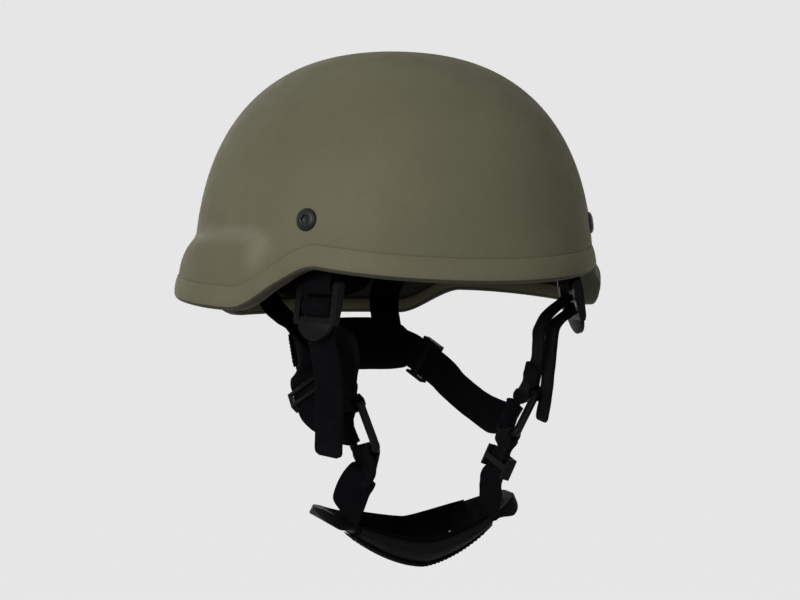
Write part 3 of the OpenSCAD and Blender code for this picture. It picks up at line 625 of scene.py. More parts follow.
def build_trim():
    """Rubber channel over the rim, rucked a little where it turns round the ear covers."""
    n = 420
    a = np.arange(n) * 360 / n - 180
    top, out, deep = TRIM_H, TRIM_T, -SHELL_T
    profile = [
        (0.1, top - 0.8), (0.2, top - 0.2), (0.45, top), (0.7, top - 0.5), (1.0, top - 1.7), (1.3, top - 3.2),
        (1.6, top - 5), (out - 0.1, top - 6.8), (out, top * 0.3), (out, 1.6), (out - 0.25, 0.2),
        (out - 0.8, -0.9), (0.4, -1.6), (-0.8, -out), (deep / 2, -out - 0.05), (deep + 0.8, -out),
        (deep - 0.6, -1.5), (deep - 1.4, -0.7), (deep - out, 0.5), (deep - out, 4), (deep - out, 6.8),
        (deep - 1.4, 7.7), (deep - 0.8, 8), (deep - 0.1, 7.4), (deep - 0.1, 0.1), (0.1, 0.1),
    ]
    b = np.abs(a)
    turning = np.exp(-((b - 56) / 6.5) ** 2) + 0.6 * np.exp(-((b - 141) / 7) ** 2)
    ruck = turning * (0.42 * np.sin(b * 2.05) + 0.2 * np.sin(b * 3.3 + 1))
    rings = []
    for off, up in profile:
        share = soft((up + 1) / 8) * soft((top - up) / 4) if off > 0.6 else 0
        rings.append(face(a, rim_z(a) + up, off) + outward(a, rim_z(a) + up) * (ruck * share)[:, None])
    count = len(profile)
    faces = grid_faces(count, n, wrap_rows=True, wrap_cols=True)
    # The faces along the channel's underside take the darker rubber copy: painted shade.
    under = [10 <= i < 18 for i in range(count) for _ in range(n)]
    obj = make("edge_channel", np.concatenate(rings), faces, (TRIM_MAT, SHADED_LIP_MAT), "helmet",
               mat_of=under)
    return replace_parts(outside(obj), "edge_trim")


def build_screws():
    """Domed screw heads with a hexagonal socket."""
    n = 60
    t = angles(n)
    hexagon = 2.6 * math.cos(math.pi / 6) / np.cos((t % (math.pi / 3)) - math.pi / 6)
    profile = [
        (6.3, 0.0), (6.35, 0.2), (6.3, 0.45), (6.1, 0.8), (5.6, 1.2), (4.9, 1.55), (4.1, 1.85), (3.5, 2.0),
        (hexagon * 1.08, 2.0), (hexagon, 1.85), (hexagon, 0.6), (1.4, 0.3),
    ]
    head = np.concatenate([circle(r, -y, t) for r, y in profile])
    faces = grid_faces(len(profile), n, wrap_cols=True) + [tuple(range(len(head) - n, len(head)))]
    for index, (at, left) in enumerate([(p, s) for p in (FRONT_BOLT, REAR_BOLT) for s in (False, True)]):
        points = mirror_x(moved(on_shell(at), head), left)
        obj = make(f"screw_head_{index + 1}", points, faces, STEEL_MAT, "helmet")
        sharpen(outside(obj))
        if index == 0:
            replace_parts(obj, "screws")


# Webbing


# Half of the tape's section, in half widths and half thicknesses, with its thicker woven edges
SECTION = [(-1, 0), (-0.985, -0.7), (-0.95, -1.04), (-0.88, -1.08), (-0.8, -1), (-0.4, -1), (0, -1),
           (0.4, -1), (0.8, -1), (0.88, -1.08), (0.95, -1.04), (0.985, -0.7)]
SECTION = np.array(SECTION + [(-x, -y) for x, y in SECTION])


class Tape:
    """A length of webbing: middle line, width directions and normals, in millimetres."""

    def __init__(self, places, leans, width, step=1.2):
        places = np.asarray(places, float)
        s = run_length(places)
        self.length = s[-1]
        count = max(int(self.length / step), 4) + 1
        self.s = np.linspace(0, self.length, count)
        self.p = sample(self.s, s, places)
        w = sample(self.s, s, np.asarray(leans, float))
        t = unit(np.gradient(self.p, axis=0))
        self.w = unit(w - t * (w * t).sum(1, keepdims=True))
        self.n = np.cross(t, self.w)
        self.width = width
        self.share = np.ones(count)

    def round_end(self, radius, start=False):
        """Rounds the corners of an end."""
        d = self.s if start else self.length - self.s
        inside = np.clip(radius - d, 0, radius)
        cut = radius - np.sqrt(np.maximum(radius ** 2 - inside ** 2, 0))
        self.share = np.minimum(self.share, 1 - cut / (self.width / 2))
        return self

    def narrow(self, share, before_end):
        """Narrows to a share of the width over 12 mm, from before_end millimetres before the end."""
        self.share = self.share * mix(1, share, soft((self.s - (self.length - before_end)) / 12))
        return self

    def at(self, s, u, up):
        """Point at arc length s, u across, up above the middle line."""
        p, w, n = (sample(s, self.s, v) for v in (self.p, self.w, self.n))
        return p + w * u + n * up

    def build(self, name, left, body=None, thick=WEB_T, seed=0.0):
        """Mesh of the tape, a little wavy across, its UVs in metres along and across."""
        across, up = SECTION.T
        ripple = 0.10 * np.sin(self.s * 0.21 + seed) + 0.07 * np.sin(self.s * 0.53 + 2 * seed)
        u = (self.width / 2 * self.share)[:, None] * across
        v = up * thick / 2 + ripple[:, None] * across ** 2
        pts = self.p[:, None, :] + self.w[:, None, :] * u[:, :, None] + self.n[:, None, :] * v[:, :, None]
        m = len(SECTION)
        uv = np.stack([u * MM, np.repeat(self.s[:, None] * MM, m, 1)], -1)
        points = mirror_x(pts.reshape(-1, 3), left)
        faces = tube_faces(len(self.s), m)
        return outside(make(name, points, faces, WEB_MAT, body, uv.reshape(-1, 2)))


class Sewing:
    """Stitches gathered along a strap, built as one piece."""

    def __init__(self):
        self.points, self.faces = [], []

    def stitch(self, a, b, up, radius=0.34):
        """One stitch from a to b, sunk at both ends."""
        a, b, up = (np.asarray(v, float) for v in (a, b, up))
        way = unit(b - a)
        side = unit(np.cross(way, up))
        top = np.cross(side, way)
        base = sum(len(p) for p in self.points)
        rings = []
        ang = angles(6)
        bow = ((0, 0.25, -0.5), (0.18, 0.85, -0.2), (0.5, 1, -0.05), (0.82, 0.85, -0.2), (1, 0.25, -0.5))
        for share, r, lift in bow:
            c = a + (b - a) * share + top * lift * radius * 2
            rings.append(c + radius * r * (np.cos(ang)[:, None] * side + np.sin(ang)[:, None] * top))
        self.points.append(np.concatenate(rings))
        self.faces += tube_faces(len(bow), len(ang), base)

    def line(self, tape, start, end, lifts=LIFTS, pitch=2.6):
        """Row of stitches on each side of a tape that lifts gives, from (s, u) to (s, u)."""
        start, end = np.asarray(start, float), np.asarray(end, float)
        count = max(round(np.linalg.norm(end - start) / pitch), 1)
        for lift in lifts:
            for i in range(count):
                s0, u0 = mix(start, end, (i + 0.1) / count)
                s1, u1 = mix(start, end, (i + 0.9) / count)
                a = tape.at(s0, u0, lift)
                self.stitch(a, tape.at(s1, u1, lift), tape.at(s0, u0, lift * 2) - a)

    def box(self, tape, s0, s1, half, lifts=LIFTS, cross=True):
        """Box of stitches across a tape, with a cross in it if asked."""
        a, b, c, d = (s0, -half), (s0, half), (s1, half), (s1, -half)
        diagonals = [(a, c), (b, d)] if cross else []
        for start, end in [(a, b), (b, c), (c, d), (d, a)] + diagonals:
            self.line(tape, start, end, lifts)

    def build(self, name, left, body=None):
        pts = mirror_x(np.concatenate(self.points), left)
        return outside(make(name, pts, self.faces, THREAD_MAT, body))


def looped(line, leans, centre, bar_way, back, gap=0.85, radius=3.5, flip=1):
    """Ends a line that runs towards a bar in a loop round it, with a second ply back millimetres long.

    gap is half the distance between the plies' middles, radius the loop's, and flip chooses the ply's side.
    """
    line, leans, centre = (np.asarray(v, float) for v in (line, leans, centre))
    bar = unit(bar_way)
    end_t = unit(line[-1] - line[-3])
    reach = float((centre - line[-1]) @ end_t)
    side = unit(np.cross(end_t, bar)) * flip
    s = run_length(line)
    total = s[-1]
    open_at, near, step = 9.0, 0.6, 1.2

    def middle(d):
        """Point at d millimetres before the bar's centre, and the normal there."""
        k = total - (d - reach)
        if k >= total:
            return centre - end_t * d, side
        p = sample(k, s, line)
        return p, unit(np.cross(unit(p - sample(max(k - 2, 0), s, line)), bar) * flip)

    def lift(d, beyond):
        """How far a ply lies from the middle, with its value beyond the loop's mouth."""
        if d < open_at:
            return mix(radius, gap, float(soft((d - 0.5) / (open_at - 0.5))))
        return beyond

    out = []
    d = total + reach
    while d > near:
        p, n = middle(d)
        out.append(p + n * lift(d, gap * float(soft((back + 14 - d) / 12))))
        d -= step
    for ang in np.linspace(90, -90, 13):
        out.append(centre + side * radius * sind(ang) + end_t * radius * cosd(ang))
    d = near
    while d < back:
        p, n = middle(d)
        out.append(p - n * lift(d, gap))
        d += step
    at = run_length(out)
    first = max(total - 10, 1)
    along = sample(at / total * (len(leans) - 1), np.arange(len(leans)), leans)
    turned = mix(leans[-1], bar, soft((at - first) / 8)[:, None])
    return out, np.where(at[:, None] < first, along, turned)


def routed(route):
    """Smooth places and width directions of a route."""
    return curve([r[0] for r in route], 8), curve([r[1] for r in route], 8)


def build_front_strap(left):
    """One tape from the tail's end up through the lock and down to the junction ring."""
    lock = at_lock(left, LOCK_TILT)
    inside = moved(lock, curve([(0, y, z) for y, z in LOCK_ROUTES[left]], 4))[::-1]
    lock_x = np.array(lock)[:3, 0]
    tail_p, tail_w = routed(TAIL_LEFT if left else TAIL_RIGHT)
    load_p, load_w = routed(FRONT_LEFT if left else FRONT_RIGHT)
    tail_p, tail_w = tail_p[::-1], tail_w[::-1]
    join = np.concatenate([tail_p[:-2], inside[1:-1], load_p[2:]])
    leans = np.concatenate([tail_w[:-2], np.repeat([-lock_x], len(inside) - 2, 0), load_w[2:]])
    p, w = looped(join, leans, RINGS[left][1], BAR_WAY, 19, flip=-1)
    tape = Tape(p, w, WEB_W).round_end(3.2).round_end(3.5, start=True)
    side = side_name(left)
    obj = tape.build(f"front_tape_{side}", left, seed=1.0 if left else 2.3)
    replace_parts(obj, f"front_strap_{side}", f"front_tail_{side}", f"lock_webbing_{side}")
    sew = Sewing()
    for s in (5, 12):
        sew.line(tape, (s, -8), (s, 8))
    sew.box(tape, tape.length - 3, tape.length - 11, 7.6, cross=False)
    stitches = sew.build(f"front_stitching_{side}", left)
    start, stop = mirror_x([[76, -82, -10], [64, -77, -52]], left)
    for o in (obj, stitches):
        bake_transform(o)


def build_front_anchor(left):
    """Doubled tab from the front bolt down inside the shell and round the lock's top bar."""
    shell_way = (-0.57, -0.82, 0)
    route = [(face(FRONT_BOLT[0], z, -11), shell_way) for z in (58, 49.6, 42)]
    route += run(shell_way, (81.3, -80.9, 34), (80.7, -81.7, 25))
    route += run(ALONG[left], (80.2, -82.3, 19), (80, -82.5, 16.2))
    side = side_name(left)
    bar = np.array(at_lock(left, 0))[:3, 0]
    p, w = looped(*routed(route), LOCK_AT, -bar, 44, gap=0.78, radius=3.2, flip=-1)
    tape = Tape(p, w, WEB_W).round_end(3, start=True).round_end(3)
    obj = tape.build(f"front_anchor_tape_{side}", left, "helmet", seed=0.4)
    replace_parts(obj, f"front_anchor_{side}")
    sew = Sewing()
    sew.box(tape, tape.length - 36, tape.length - 24, 8, LIFTS[:1])
    sew.box(tape, 38, 26, 8, LIFTS[:1])
    sew.build(f"front_anchor_stitching_{side}", left, "helmet")


def build_rear(left):
    """Rear strap sewn under the bolt, and the short tab folded over its end."""
    side = side_name(left)
    place = on_shell(REAR_BOLT)
    across = np.array(place)[:3, 0]
    top = curve(moved(place, [(0, 11.1, 10), (0, 11.1, 0), (0, 11.1, -12)]), 6)
    p, w = routed(REAR_ROUTE)
    line = np.concatenate([top, p[2:]])
    leans = np.concatenate([np.repeat([across], len(top), 0), w[2:]])
    tape = Tape(line, leans, WEB_W).round_end(9.9, start=True)
    obj = tape.build(f"rear_tape_{side}", left, "helmet", seed=3.1)
    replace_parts(obj, f"rear_strap_{side}")
    fold = moved(place, [(0, 9.9, 9.5), (0, 9.9, 0), (0, 9.9, -12), (0, 9.9, -24)])
    flap = Tape(fold, np.repeat([across], 4, 0), WEB_W).round_end(9.9, start=True).round_end(2.5)
    obj = flap.build(f"rear_flap_{side}", left, "helmet", thick=1.3, seed=1.3)
    if left:
        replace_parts(obj, "rear_anchors")
    sew = Sewing()
    sew.box(tape, 21, 33, 7.8, HIGH_LIFTS)
    sew.line(tape, (tape.length - 6, -8), (tape.length - 6, 8))
    sew.build(f"rear_stitching_{side}", left, "helmet")


def build_side_strap(left):
    """Side strap from the nape pad to the rear leg of the junction ring."""
    side = side_name(left)
    low, high = np.array(RINGS[left])
    up = unit(high - low)
    rearward = -unit(BAR_WAY - up * np.dot(BAR_WAY, up))
    centre = low + rearward * (RING_W / 2 - ROD_R) + (high - low) / 2
    p, w = looped(*routed(SIDE_LEFT if left else SIDE_RIGHT), centre, up, 21)
    tape = Tape(p, w, SIDE_WEB_W).round_end(3).narrow(0.8, 42)
    obj = tape.build(f"side_tape_{side}", left, "helmet", seed=0.9)
    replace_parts(obj, f"side_strap_{side}")
    sew = Sewing()
    sew.box(tape, tape.length - 2.5, tape.length - 12, 6.6, HIGH_LIFTS)
    sew.box(tape, 4, 13, 8.5, HIGH_LIFTS, cross=False)
    sew.build(f"side_stitching_{side}", left, "helmet")


def build_chin_strap(left):
    """Chin strap from inside the cup up to the junction ring's lower bar."""
    side = side_name(left)
    p, w = (v[::-1] for v in routed(CHIN_LEFT if left else CHIN_RIGHT))
    p = np.concatenate([[p[0] + [0.2, 0.2, -1.2]], p])
    w = np.concatenate([[w[0]], w])
    p, w = looped(p, w, RINGS[left][0], BAR_WAY, 15 if left else 20)
    tape = Tape(p, w, WEB_W).round_end(3).narrow(0.92, 40)
    obj = tape.build(f"chin_tape_{side}", left, seed=2.0)
    for v in obj.data.vertices:
        v.co.z = max(v.co.z, cup_floor(v.co.x / MM, v.co.y / MM) * MM)
    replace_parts(obj, f"chin_strap_{side}")
    sew = Sewing()
    sew.box(tape, tape.length - 2.5, tape.length - (7 if left else 12), 7, HIGH_LIFTS, cross=not left)
    stitches = sew.build(f"chin_stitching_{side}", left)
    start, stop = mirror_x([[47, -71, -88], [47, -58, -116]], left)
    for o in (obj, stitches):
        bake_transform(o)


# Cushions


def places_of(mesh):
    """The mesh's points, a row each."""
    out = np.empty(len(mesh.vertices) * 3, np.float32)
    mesh.vertices.foreach_get("co", out)
    return out.reshape(-1, 3)


def puff(obj, voxel, pressure, cap, frames):
    """Fills a closed cloth skin with a short pressure simulation, each point moving by at most cap metres."""
    bpy.ops.object.select_all(action="DESELECT")
    obj.select_set(True)
    bpy.context.view_layer.objects.active = obj
    remesh = obj.modifiers.new("Remesh", "REMESH")
    remesh.mode = "VOXEL"
    remesh.voxel_size = voxel
    bpy.ops.object.modifier_apply(modifier="Remesh")
    rest = places_of(obj.data)
    cloth = obj.modifiers.new("Cloth", "CLOTH")
    settings = {"quality": 4, "mass": 0.3, "tension_stiffness": 15, "compression_stiffness": 15,
                "bending_stiffness": 0.6, "use_pressure": True, "uniform_pressure_force": pressure}
    for key, value in settings.items():
        setattr(cloth.settings, key, value)
    cloth.settings.effector_weights.gravity = 0
    cloth.point_cache.frame_start = 1
    cloth.point_cache.frame_end = frames
    scene = bpy.context.scene
    for f in range(1, frames + 1):
        scene.frame_set(f)
    dg = bpy.context.evaluated_depsgraph_get()
    after = places_of(obj.evaluated_get(dg).to_mesh())
    obj.evaluated_get(dg).to_mesh_clear()
    obj.modifiers.remove(cloth)
    scene.frame_set(1)
    step = after - rest
    size = np.linalg.norm(step, axis=1, keepdims=True)
    step *= np.minimum(1, cap / np.maximum(size, 1e-9))
    obj.data.vertices.foreach_set("co", (rest + step).ravel())
    obj.data.update()
    obj.data.shade_smooth()


def cushion(obj, node, fill, **sim):
    """Puffs up a sewn skin, smooths it and puts it in its CAD node's place."""
    puff(obj, **sim)
    sub = obj.modifiers.new("Subdivision", "SUBSURF")
    sub.levels = sub.render_levels = 1
    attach(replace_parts(obj, node), "helmet")


def nape_line(x):
    """Middle of the nape pad's thickness at a place across it."""
    b = abs(x) / (NAPE_W / 2 - 1)
    return 63.5 - 5.5 * b ** 2.2 - NAPE_T / 2 - WEB_T / 2, -32 - 3.5 * b ** 2.6


def nape_slim(x):
    """Share of its full thickness that the nape pad keeps at a place across it."""
    return (1 - 0.8 * min(abs(x) / (NAPE_W / 2 - 1), 1) ** 4) ** 0.6


def build_nape():
    """Nape pad in its fabric sleeve, piped and sewn, and the band behind it."""
    rows, cols = 61, 40
    half = NAPE_W / 2 - 0.4
    c, s = np.cos(angles(cols)), np.sin(angles(cols))
    pts = []
    for i in range(rows):
        u = -1 + 2 * i / (rows - 1)
        x = half * squared(u, 0.92)
        y, z = nape_line(x)
        squeeze = (1 - abs(u) ** 9) ** 0.5 if abs(u) < 1 else 0.0
        tall = NAPE_H / 2 * 1.09 * mix(1, nape_slim(x), 0.38) * mix(0.9, 1, squeeze)
        thick = NAPE_T / 2 * 0.98 * mix(0.35, 1, squeeze) * mix(1, nape_slim(x), 0.7)
        out = thick * squared(c, 0.8) * (1 - 0.18 * np.abs(s) ** 3)
        pts.append(np.stack([np.full(cols, x), y + out, z + tall * squared(s, 0.42)], -1))
    skin = np.concatenate(pts)
    obj = outside(make("nape_cushion", skin, tube_faces(rows, cols), NAPE_MAT))
    cushion(obj, "nape_pad", 0.8, voxel=0.003, pressure=3.0, cap=0.0011, frames=16)
    edge = []
    for a in angles(160):
        x, s = (half - 1.6) * squared(math.cos(a), 0.3), math.sin(a)
        y, z = nape_line(x)
        tall = (NAPE_H / 2 - 0.4) * mix(1, nape_slim(x), 0.38)
        edge.append((x, y, z + tall * (0.92 + 0.08 * abs(s)) * squared(s, 0.35)))
    piping("nape_piping", np.array(edge), NAPE_MAT)
    sew = Sewing()
    xs = np.linspace(-half + 6, half - 6, 27)
    d = NAPE_T / 2 * 0.98
    for v in (-13.2, 13.2):
        for x0, x1 in zip(xs[:-1], xs[1:]):
            (y0, z0), end = nape_line(x0), x0 + (x1 - x0) * 0.75
            y1, z1 = nape_line(end)
            sew.stitch((x0, y0 - d, z0 + v), (end, y1 - d, z1 + v), (0, -1, 0), 0.3)
    sew.build("nape_stitching", True, "helmet")
    line = curve(NAPE_ROUTE, 10)
    tape = Tape(line, np.repeat([(0, 0, 1)], len(line), 0), SIDE_WEB_W)
    obj = tape.build("nape_tape", True, "helmet", seed=0.3)
    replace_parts(obj, "nape_band")
    sew = Sewing()
    for mid in (tape.length / 2 - 34, tape.length / 2 + 34):
        sew.box(tape, mid - 9, mid + 9, 8.5)
    sew.build("nape_band_stitching", True, "helmet")


def piping(name, loop, mat):
    """Round piping, 2 mm thick, sewn along a closed seam."""
    t = unit(np.roll(loop, -1, 0) - np.roll(loop, 1, 0))
    a = unit(np.cross(t, (0.3, 1, 0.2)))
    b = np.cross(t, a)
    ang = angles(8)[None, :, None]
    pts = loop[:, None, :] + np.cos(ang) * a[:, None, :] + np.sin(ang) * b[:, None, :]
    outside(make(name, pts.reshape(-1, 3), grid_faces(len(loop), 8, True, True), mat, "helmet"))


def wall_point(at, x, z, off):
    """Point on the shell's wall, x across and z up from a pad's middle."""
    turn = x / plan_r(at[0], -SHELL_T - HOOK_T) * 180 / math.pi
    return face(at[0] + turn, at[1] + z, off)


def crown_point(x, y, off):
    r = math.hypot(x, y)
    a = math.degrees(math.atan2(x, -y)) if r > 1e-9 else 0.0
    k = r / float(plan_r(a, off))
    return (x, y - CROWN_LEAN, WALL_Z + (CROWN_H + off) * (1 - k ** ROUND_N) ** (1 / RISE_N))


def build_pad(name, node, point, half_w, half_h, power=0.62, left=True):
    """Foam pad in a sewn cover: flat against the hook disc, crowned inside, drawn in at a piped seam.

    point turns a place across the pad, a place up it and a depth into a point; power rounds its outline.
    """
    n, rings = 72, 14

    def ring(r, depth):
        """Points round the pad at a share r of its size and a depth below its base."""
        x = half_w * r * squared(np.cos(angles(n)), power)
        z = half_h * r * squared(np.sin(angles(n)), power)
        return [point(*place, PAD_BASE - depth) for place in zip(x, z)]

    pts = [point(0, 0, PAD_BASE)]
    for i in range(1, rings + 1):
        r = i / rings * 1.015
        pts += ring(r, 0.9 * r ** 10)
    for i in range(rings, 0, -1):
        r = i / rings
        pts += ring(r * (1.015 if i == rings else 1.03), mix(PAD_T * 0.93, PAD_T * 0.5, r ** 5))
    pts.append(point(0, 0, PAD_BASE - PAD_T * 0.93))
    last = len(pts) - 1
    faces = grid_faces(2 * rings, n, wrap_cols=True, first=1)
    faces += [(0, 1 + (j + 1) % n, 1 + j) for j in range(n)]
    faces += [(last, last - n + j, last - n + (j + 1) % n) for j in range(n)]
    obj = outside(make(name, mirror_x(pts, left), faces, PAD_MAT))
    cushion(obj, node, 0.85, voxel=0.0045, pressure=3.5, cap=0.0012, frames=12)
    piping(f"{name}_seam", mirror_x(ring(0.982, PAD_T * 0.22), left), PAD_MAT)


def build_wall_pad(name, node, pad, left=True):
    build_pad(name, node, lambda x, z, off: wall_point(pad, x, z, off), *pad[2:], left=left)


# Chin cup


def cup_half(b, tip):
    """Half the cup's depth from front to rear, at a share b of the way to its ends."""
    return CUP_HALF_Y * np.sqrt(np.maximum(1 - b ** 2.6, 0)) * 0.72 + CUP_END_HALF * tip


def cup_z(b, s):
    """Height of the cup's outer face, s from -1 at its rear edge to 1 at its front edge."""
    sag = (CUP_DEPTH + 1) * np.maximum(1 - np.minimum(b / 0.86, 1) ** 2, 0) ** 0.9
    return CUP_AT[2] + CUP_RISE * b ** 1.3 - sag * np.sqrt(1 - s * s) - CUP_FALL * (1 - b * b) * (1 + s)


def cup_face(u, v, off):
    """Point off millimetres outside the cup: u across it and v from rear to front, both from -1 to 1."""
    b = np.abs(u)
    half = cup_half(b, np.sqrt(1 - 0.8 * np.clip((b - 0.88) / 0.12, 0, 1) ** 2))
    s = np.sin(math.pi / 2 * v)
    return np.stack([u * CUP_W / 2, CUP_AT[1] - (half + off) * s, cup_z(b, s) - off], -1)


def cup_floor(x, y):
    """Height of the middle of the cup's leather under a place."""
    b = min(abs(x) / (CUP_W / 2), 1)
    s = min(max((CUP_AT[1] - y) / cup_half(b, 1), -1), 1)
    return cup_z(b, s) + 1.2


def cup_skin(name, outer, inner, reach, v0, v1, nu, nv, mat, rounded, thin=0.0, wing=0.0):
    """Two faces that follow the cup, outer and inner millimetres outside it, and join round a rolled edge.

    rounded is the edge's reach, thin the share of the thickness lost at the ends, wing what is added there.
    """
    uu, vv = np.meshgrid(np.linspace(-reach, reach, nu + 1), np.linspace(v0, v1, nv + 1), indexing="ij")
    b = np.abs(uu)
    more = wing * soft((b - 0.72) / 0.16) * np.sqrt(1 - 0.85 * np.clip((b - 0.86) / 0.14, 0, 1) ** 2)
    out = cup_face(uu, vv, outer + more)
    into = cup_face(uu, vv, outer + (inner - outer) * (1 - thin * (b / reach) ** 3))
    near = np.minimum(np.minimum(uu + reach, reach - uu) * CUP_W / 2, np.minimum(vv - v0, v1 - vv) * 30)
    pinch = mix(0.35, 1, np.sqrt(np.clip(near / rounded, 0, 1)))[..., None]
    middle = (out + into) / 2
    out, into = middle + (out - middle) * pinch, middle + (into - middle) * pinch
    row = nv + 1
    m = (nu + 1) * row
    faces = grid_faces(nu + 1, row) + [tuple(reversed(f)) for f in grid_faces(nu + 1, row, first=m)]
    edge = list(range(row)) + [i * row + nv for i in range(1, nu + 1)]
    edge += [nu * row + nv - j for j in range(1, row)] + [(nu - i) * row for i in range(1, nu)]
    faces += [(p, q, m + q, m + p) for p, q in zip(edge, edge[1:] + edge[:1])]
    uv = np.stack([uu * CUP_W / 2 * MM, vv * 26 * MM], -1).reshape(-1, 2)
    pts = np.concatenate([out.reshape(-1, 3), into.reshape(-1, 3)])
    return outside(make(name, pts, faces, mat, None, np.concatenate([uv, uv])))


def cut(obj, tools):
    """Cuts the tools out of a piece and removes them."""
    bpy.context.view_layer.objects.active = obj
    for tool in tools:
        m = obj.modifiers.new("Cut", "BOOLEAN")
        m.operation = "DIFFERENCE"
        m.solver = "EXACT"
        m.object = tool
        bpy.ops.object.modifier_apply(modifier="Cut")
        bpy.data.objects.remove(tool)
    sharpen(obj)


def tools(shape, places):
    """Closed rods or boxes to cut with, from a shape's two ends, at places on both sides."""
    faces = tube_faces(2, len(shape) // 2)
    return [outside(make("tool", shape + np.array((s * x, y, z)), faces, LEATHER_MAT))
            for x, y, z in places for s in (-1, 1)]


def vent_tools(radius, vents):
    """Rods that cut the vents."""
    rod = np.concatenate([circle(radius, y, angles(20)) for y in (-10, 10)])
    return tools(rod, [(x, -29, z) for x, z in vents])


def build_cup():
    """Leather cup with slots and vents, its lining, the band under it and their seams."""
    cup = cup_skin("cup_body", 0, -CUP_T, 1, -1, 1, 96, 44, LEATHER_MAT, 2.2, wing=4.4)
    corners = ((-1, -1), (1, -1), (1, 1), (-1, 1))
    box = np.array([(x, y, z) for z in (-1, 1) for x, y in corners]) * (SLOT_W, WEB_W + 1.6, 24) / 2
    cut(cup, tools(box, [(SLOT_X, -50, -126)]) + vent_tools(2.2, VENTS))
    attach(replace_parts(cup, "chin_cup"), "chin")
    liner = cup_skin("cup_lining", -CUP_T, -CUP_T - LINER_T, 0.62, -1, 1, 62, 34, LINING_MAT,
                     2.5, thin=0.7)
    cut(liner, vent_tools(2.4, VENTS[:1]))
    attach(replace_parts(liner, "chin_cup_liner"), "chin")
    band = cup_skin("cup_tape", WEB_T + 0.1, 0.1, 0.69, -0.1, 0.5, 60, 12, WEB_MAT, 0.6)
    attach(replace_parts(band, "chin_band"), "chin")
    sew = Sewing()
    edge_rows = [(v, 0.93, 57, 0.15) for v in (-0.86, 0.86)]
    band_rows = [(v, 0.62, 33, WEB_T + 0.2) for v in (-0.05, 0.45)]
    for v, reach, count, off in edge_rows + band_rows:
        us = np.linspace(-reach, reach, count)
        for u0, u1 in zip(us[:-1], us[1:]):
            um = mix(u0, u1, 0.72)
            past_slot = min(abs(abs(u) * CUP_W / 2 - SLOT_X) for u in (u0, um)) > 3
            if past_slot or reach < 0.9:
                a, b, above = (cup_face(u, v, d) for u, d in ((u0, off), (um, off), (u0, off + 2)))
                sew.stitch(a, b, above - a, 0.32)
    sew.build("cup_stitching", True, "chin")


# Moulded pieces, kept to the CAD's shape with softened edges


def softened(name, node, body, mat=PLASTIC_MAT, width=0.35, segments=2):
    """Copy of a CAD node with its edges rounded over width millimetres, in its place."""
    mesh = NODES[node].data.copy()
    bm = bmesh.new()
    bm.from_mesh(mesh)
    bmesh.ops.remove_doubles(bm, verts=bm.verts, dist=2e-6)
    bmesh.ops.dissolve_limit(bm, angle_limit=math.radians(1), verts=bm.verts, edges=bm.edges)
    bm.to_mesh(mesh)
    bm.free()
    obj = placed(name, mesh)
    mesh.materials.clear()
    mesh.materials.append(mat)
    mesh.shade_smooth()
    bevel = obj.modifiers.new("Bevel", "BEVEL")
    bevel.width = width * MM
    bevel.segments = segments
    bevel.limit_method = "ANGLE"
    bevel.angle_limit = math.radians(28)
    bevel.harden_normals = True
    mesh.set_sharp_from_angle(angle=math.radians(70))
    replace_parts(obj, node)
    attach(obj, body)


build_shell()
build_trim()
build_screws()
for is_left in (True, False):
    build_front_anchor(is_left)
    build_front_strap(is_left)
    build_rear(is_left)
    build_side_strap(is_left)
    build_chin_strap(is_left)
    tag = side_name(is_left)
    softened(f"lock_body_{tag}", f"ladder_lock_{tag}", f"lock_{tag}", width=0.5, segments=3)
    softened(f"ring_body_{tag}", f"junction_ring_{tag}", "helmet", RING_MAT, 0.15)
    softened(f"slide_body_{tag}", f"side_slider_{tag}", f"slider_{tag}")
    build_wall_pad(f"temple_cushion_{tag}", f"temple_pad_{tag}", TEMPLE_PAD, is_left)
    build_wall_pad(f"side_cushion_{tag}", f"side_pad_{tag}", SIDE_PAD, is_left)
softened("chin_slide_body", "chin_slider", "chin")
build_nape()
build_wall_pad("front_cushion", "front_pad", FRONT_PAD)
build_wall_pad("rear_cushion", "rear_pad", REAR_PAD)
build_pad("crown_cushion", "crown_pad", lambda x, y, off: crown_point(x, y, off - 0.5), CROWN_R, CROWN_R, 1.0)
build_cup()
for node, mat in (("post_nuts", STEEL_MAT), ("hook_discs", HOOK_MAT)):
    NODES[node].data.materials.clear()
    NODES[node].data.materials.append(mat)


# Camera, floor and light


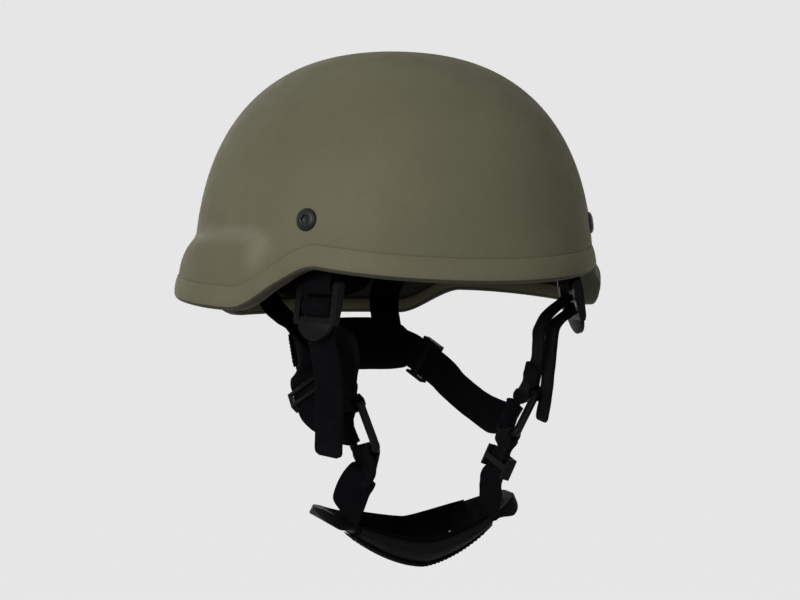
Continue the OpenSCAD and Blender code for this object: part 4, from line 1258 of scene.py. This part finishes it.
def camera():
    """The photograph's view, fitted to the rim, the crown and the screws."""
    az, el, roll = map(math.radians, (VIEW_AZ, VIEW_EL, VIEW_ROLL))
    back = Vector((-math.sin(az) * math.cos(el), -math.cos(az) * math.cos(el), math.sin(el)))
    right = Vector((math.cos(az), -math.sin(az), 0))
    up = back.cross(right)
    x = math.cos(roll) * right + math.sin(roll) * up
    y = -math.sin(roll) * right + math.cos(roll) * up
    data = bpy.data.cameras.new("camera")
    data.lens = LENS
    data.sensor_width = 36
    data.clip_start = 0.01
    data.clip_end = 100
    cam = placed("camera", data)
    place = (back * VIEW_FAR - x * VIEW_X - y * VIEW_Y) * MM
    cam.matrix_world = Matrix.Translation(place) @ Matrix((x, y, back)).transposed().to_4x4()
    bpy.context.scene.camera = cam


def stage():
    """Pale floor that sweeps up behind, seen by the camera at the background's own grey."""
    s = Shader("stage", Roughness=0.9, Base_Color=(0.72, 0.72, 0.72, 1))
    glow = s.node("ShaderNodeEmission", Color=(*BACKDROP, 1), Strength=1.0)
    s.show(s.math("MULTIPLY", s.seen(), 0.97), s.bsdf, glow, "Material Output")
    n = 96
    t = angles(n)
    sweep = ((500, 0), (3000, 0), (7500, 0), (8400, 180), (8850, 750), (9000, 1700), (9000, 7000))
    rings = [np.stack([r * np.cos(t), r * np.sin(t), np.full(n, FLOOR_Z + z)], -1) for r, z in sweep]
    faces = grid_faces(len(sweep), n, wrap_cols=True) + [tuple(range(n))]
    make("floor", np.concatenate(rings), faces, s.mat)


def light():
    """Lamps and a plain world, which shows the camera and glossy surfaces the background's grey."""
    world = bpy.data.worlds.new("world")
    bpy.context.scene.world = world
    w = Nodes(world)
    plain = w.tree.nodes["Background"]
    plain.inputs["Color"].default_value = (1.0, 1.0, 0.98, 1)
    plain.inputs["Strength"].default_value = 0.22
    w.show(w.seen(), plain, w.node("ShaderNodeBackground", Color=(*BACKDROP, 1)), "World Output")
    for name, place, size, power in LAMPS:
        data = bpy.data.lights.new(name, "AREA")
        data.shape = "DISK"
        data.size = size
        data.energy = power
        obj = placed(name, data)
        obj.location = place
        obj.rotation_mode = "QUATERNION"
        obj.rotation_quaternion = (Vector(place) - Vector((0, 0, 0.03))).to_track_quat("Z", "Y")
    bpy.context.scene.view_settings.view_transform = "Standard"


camera()
stage()
light()
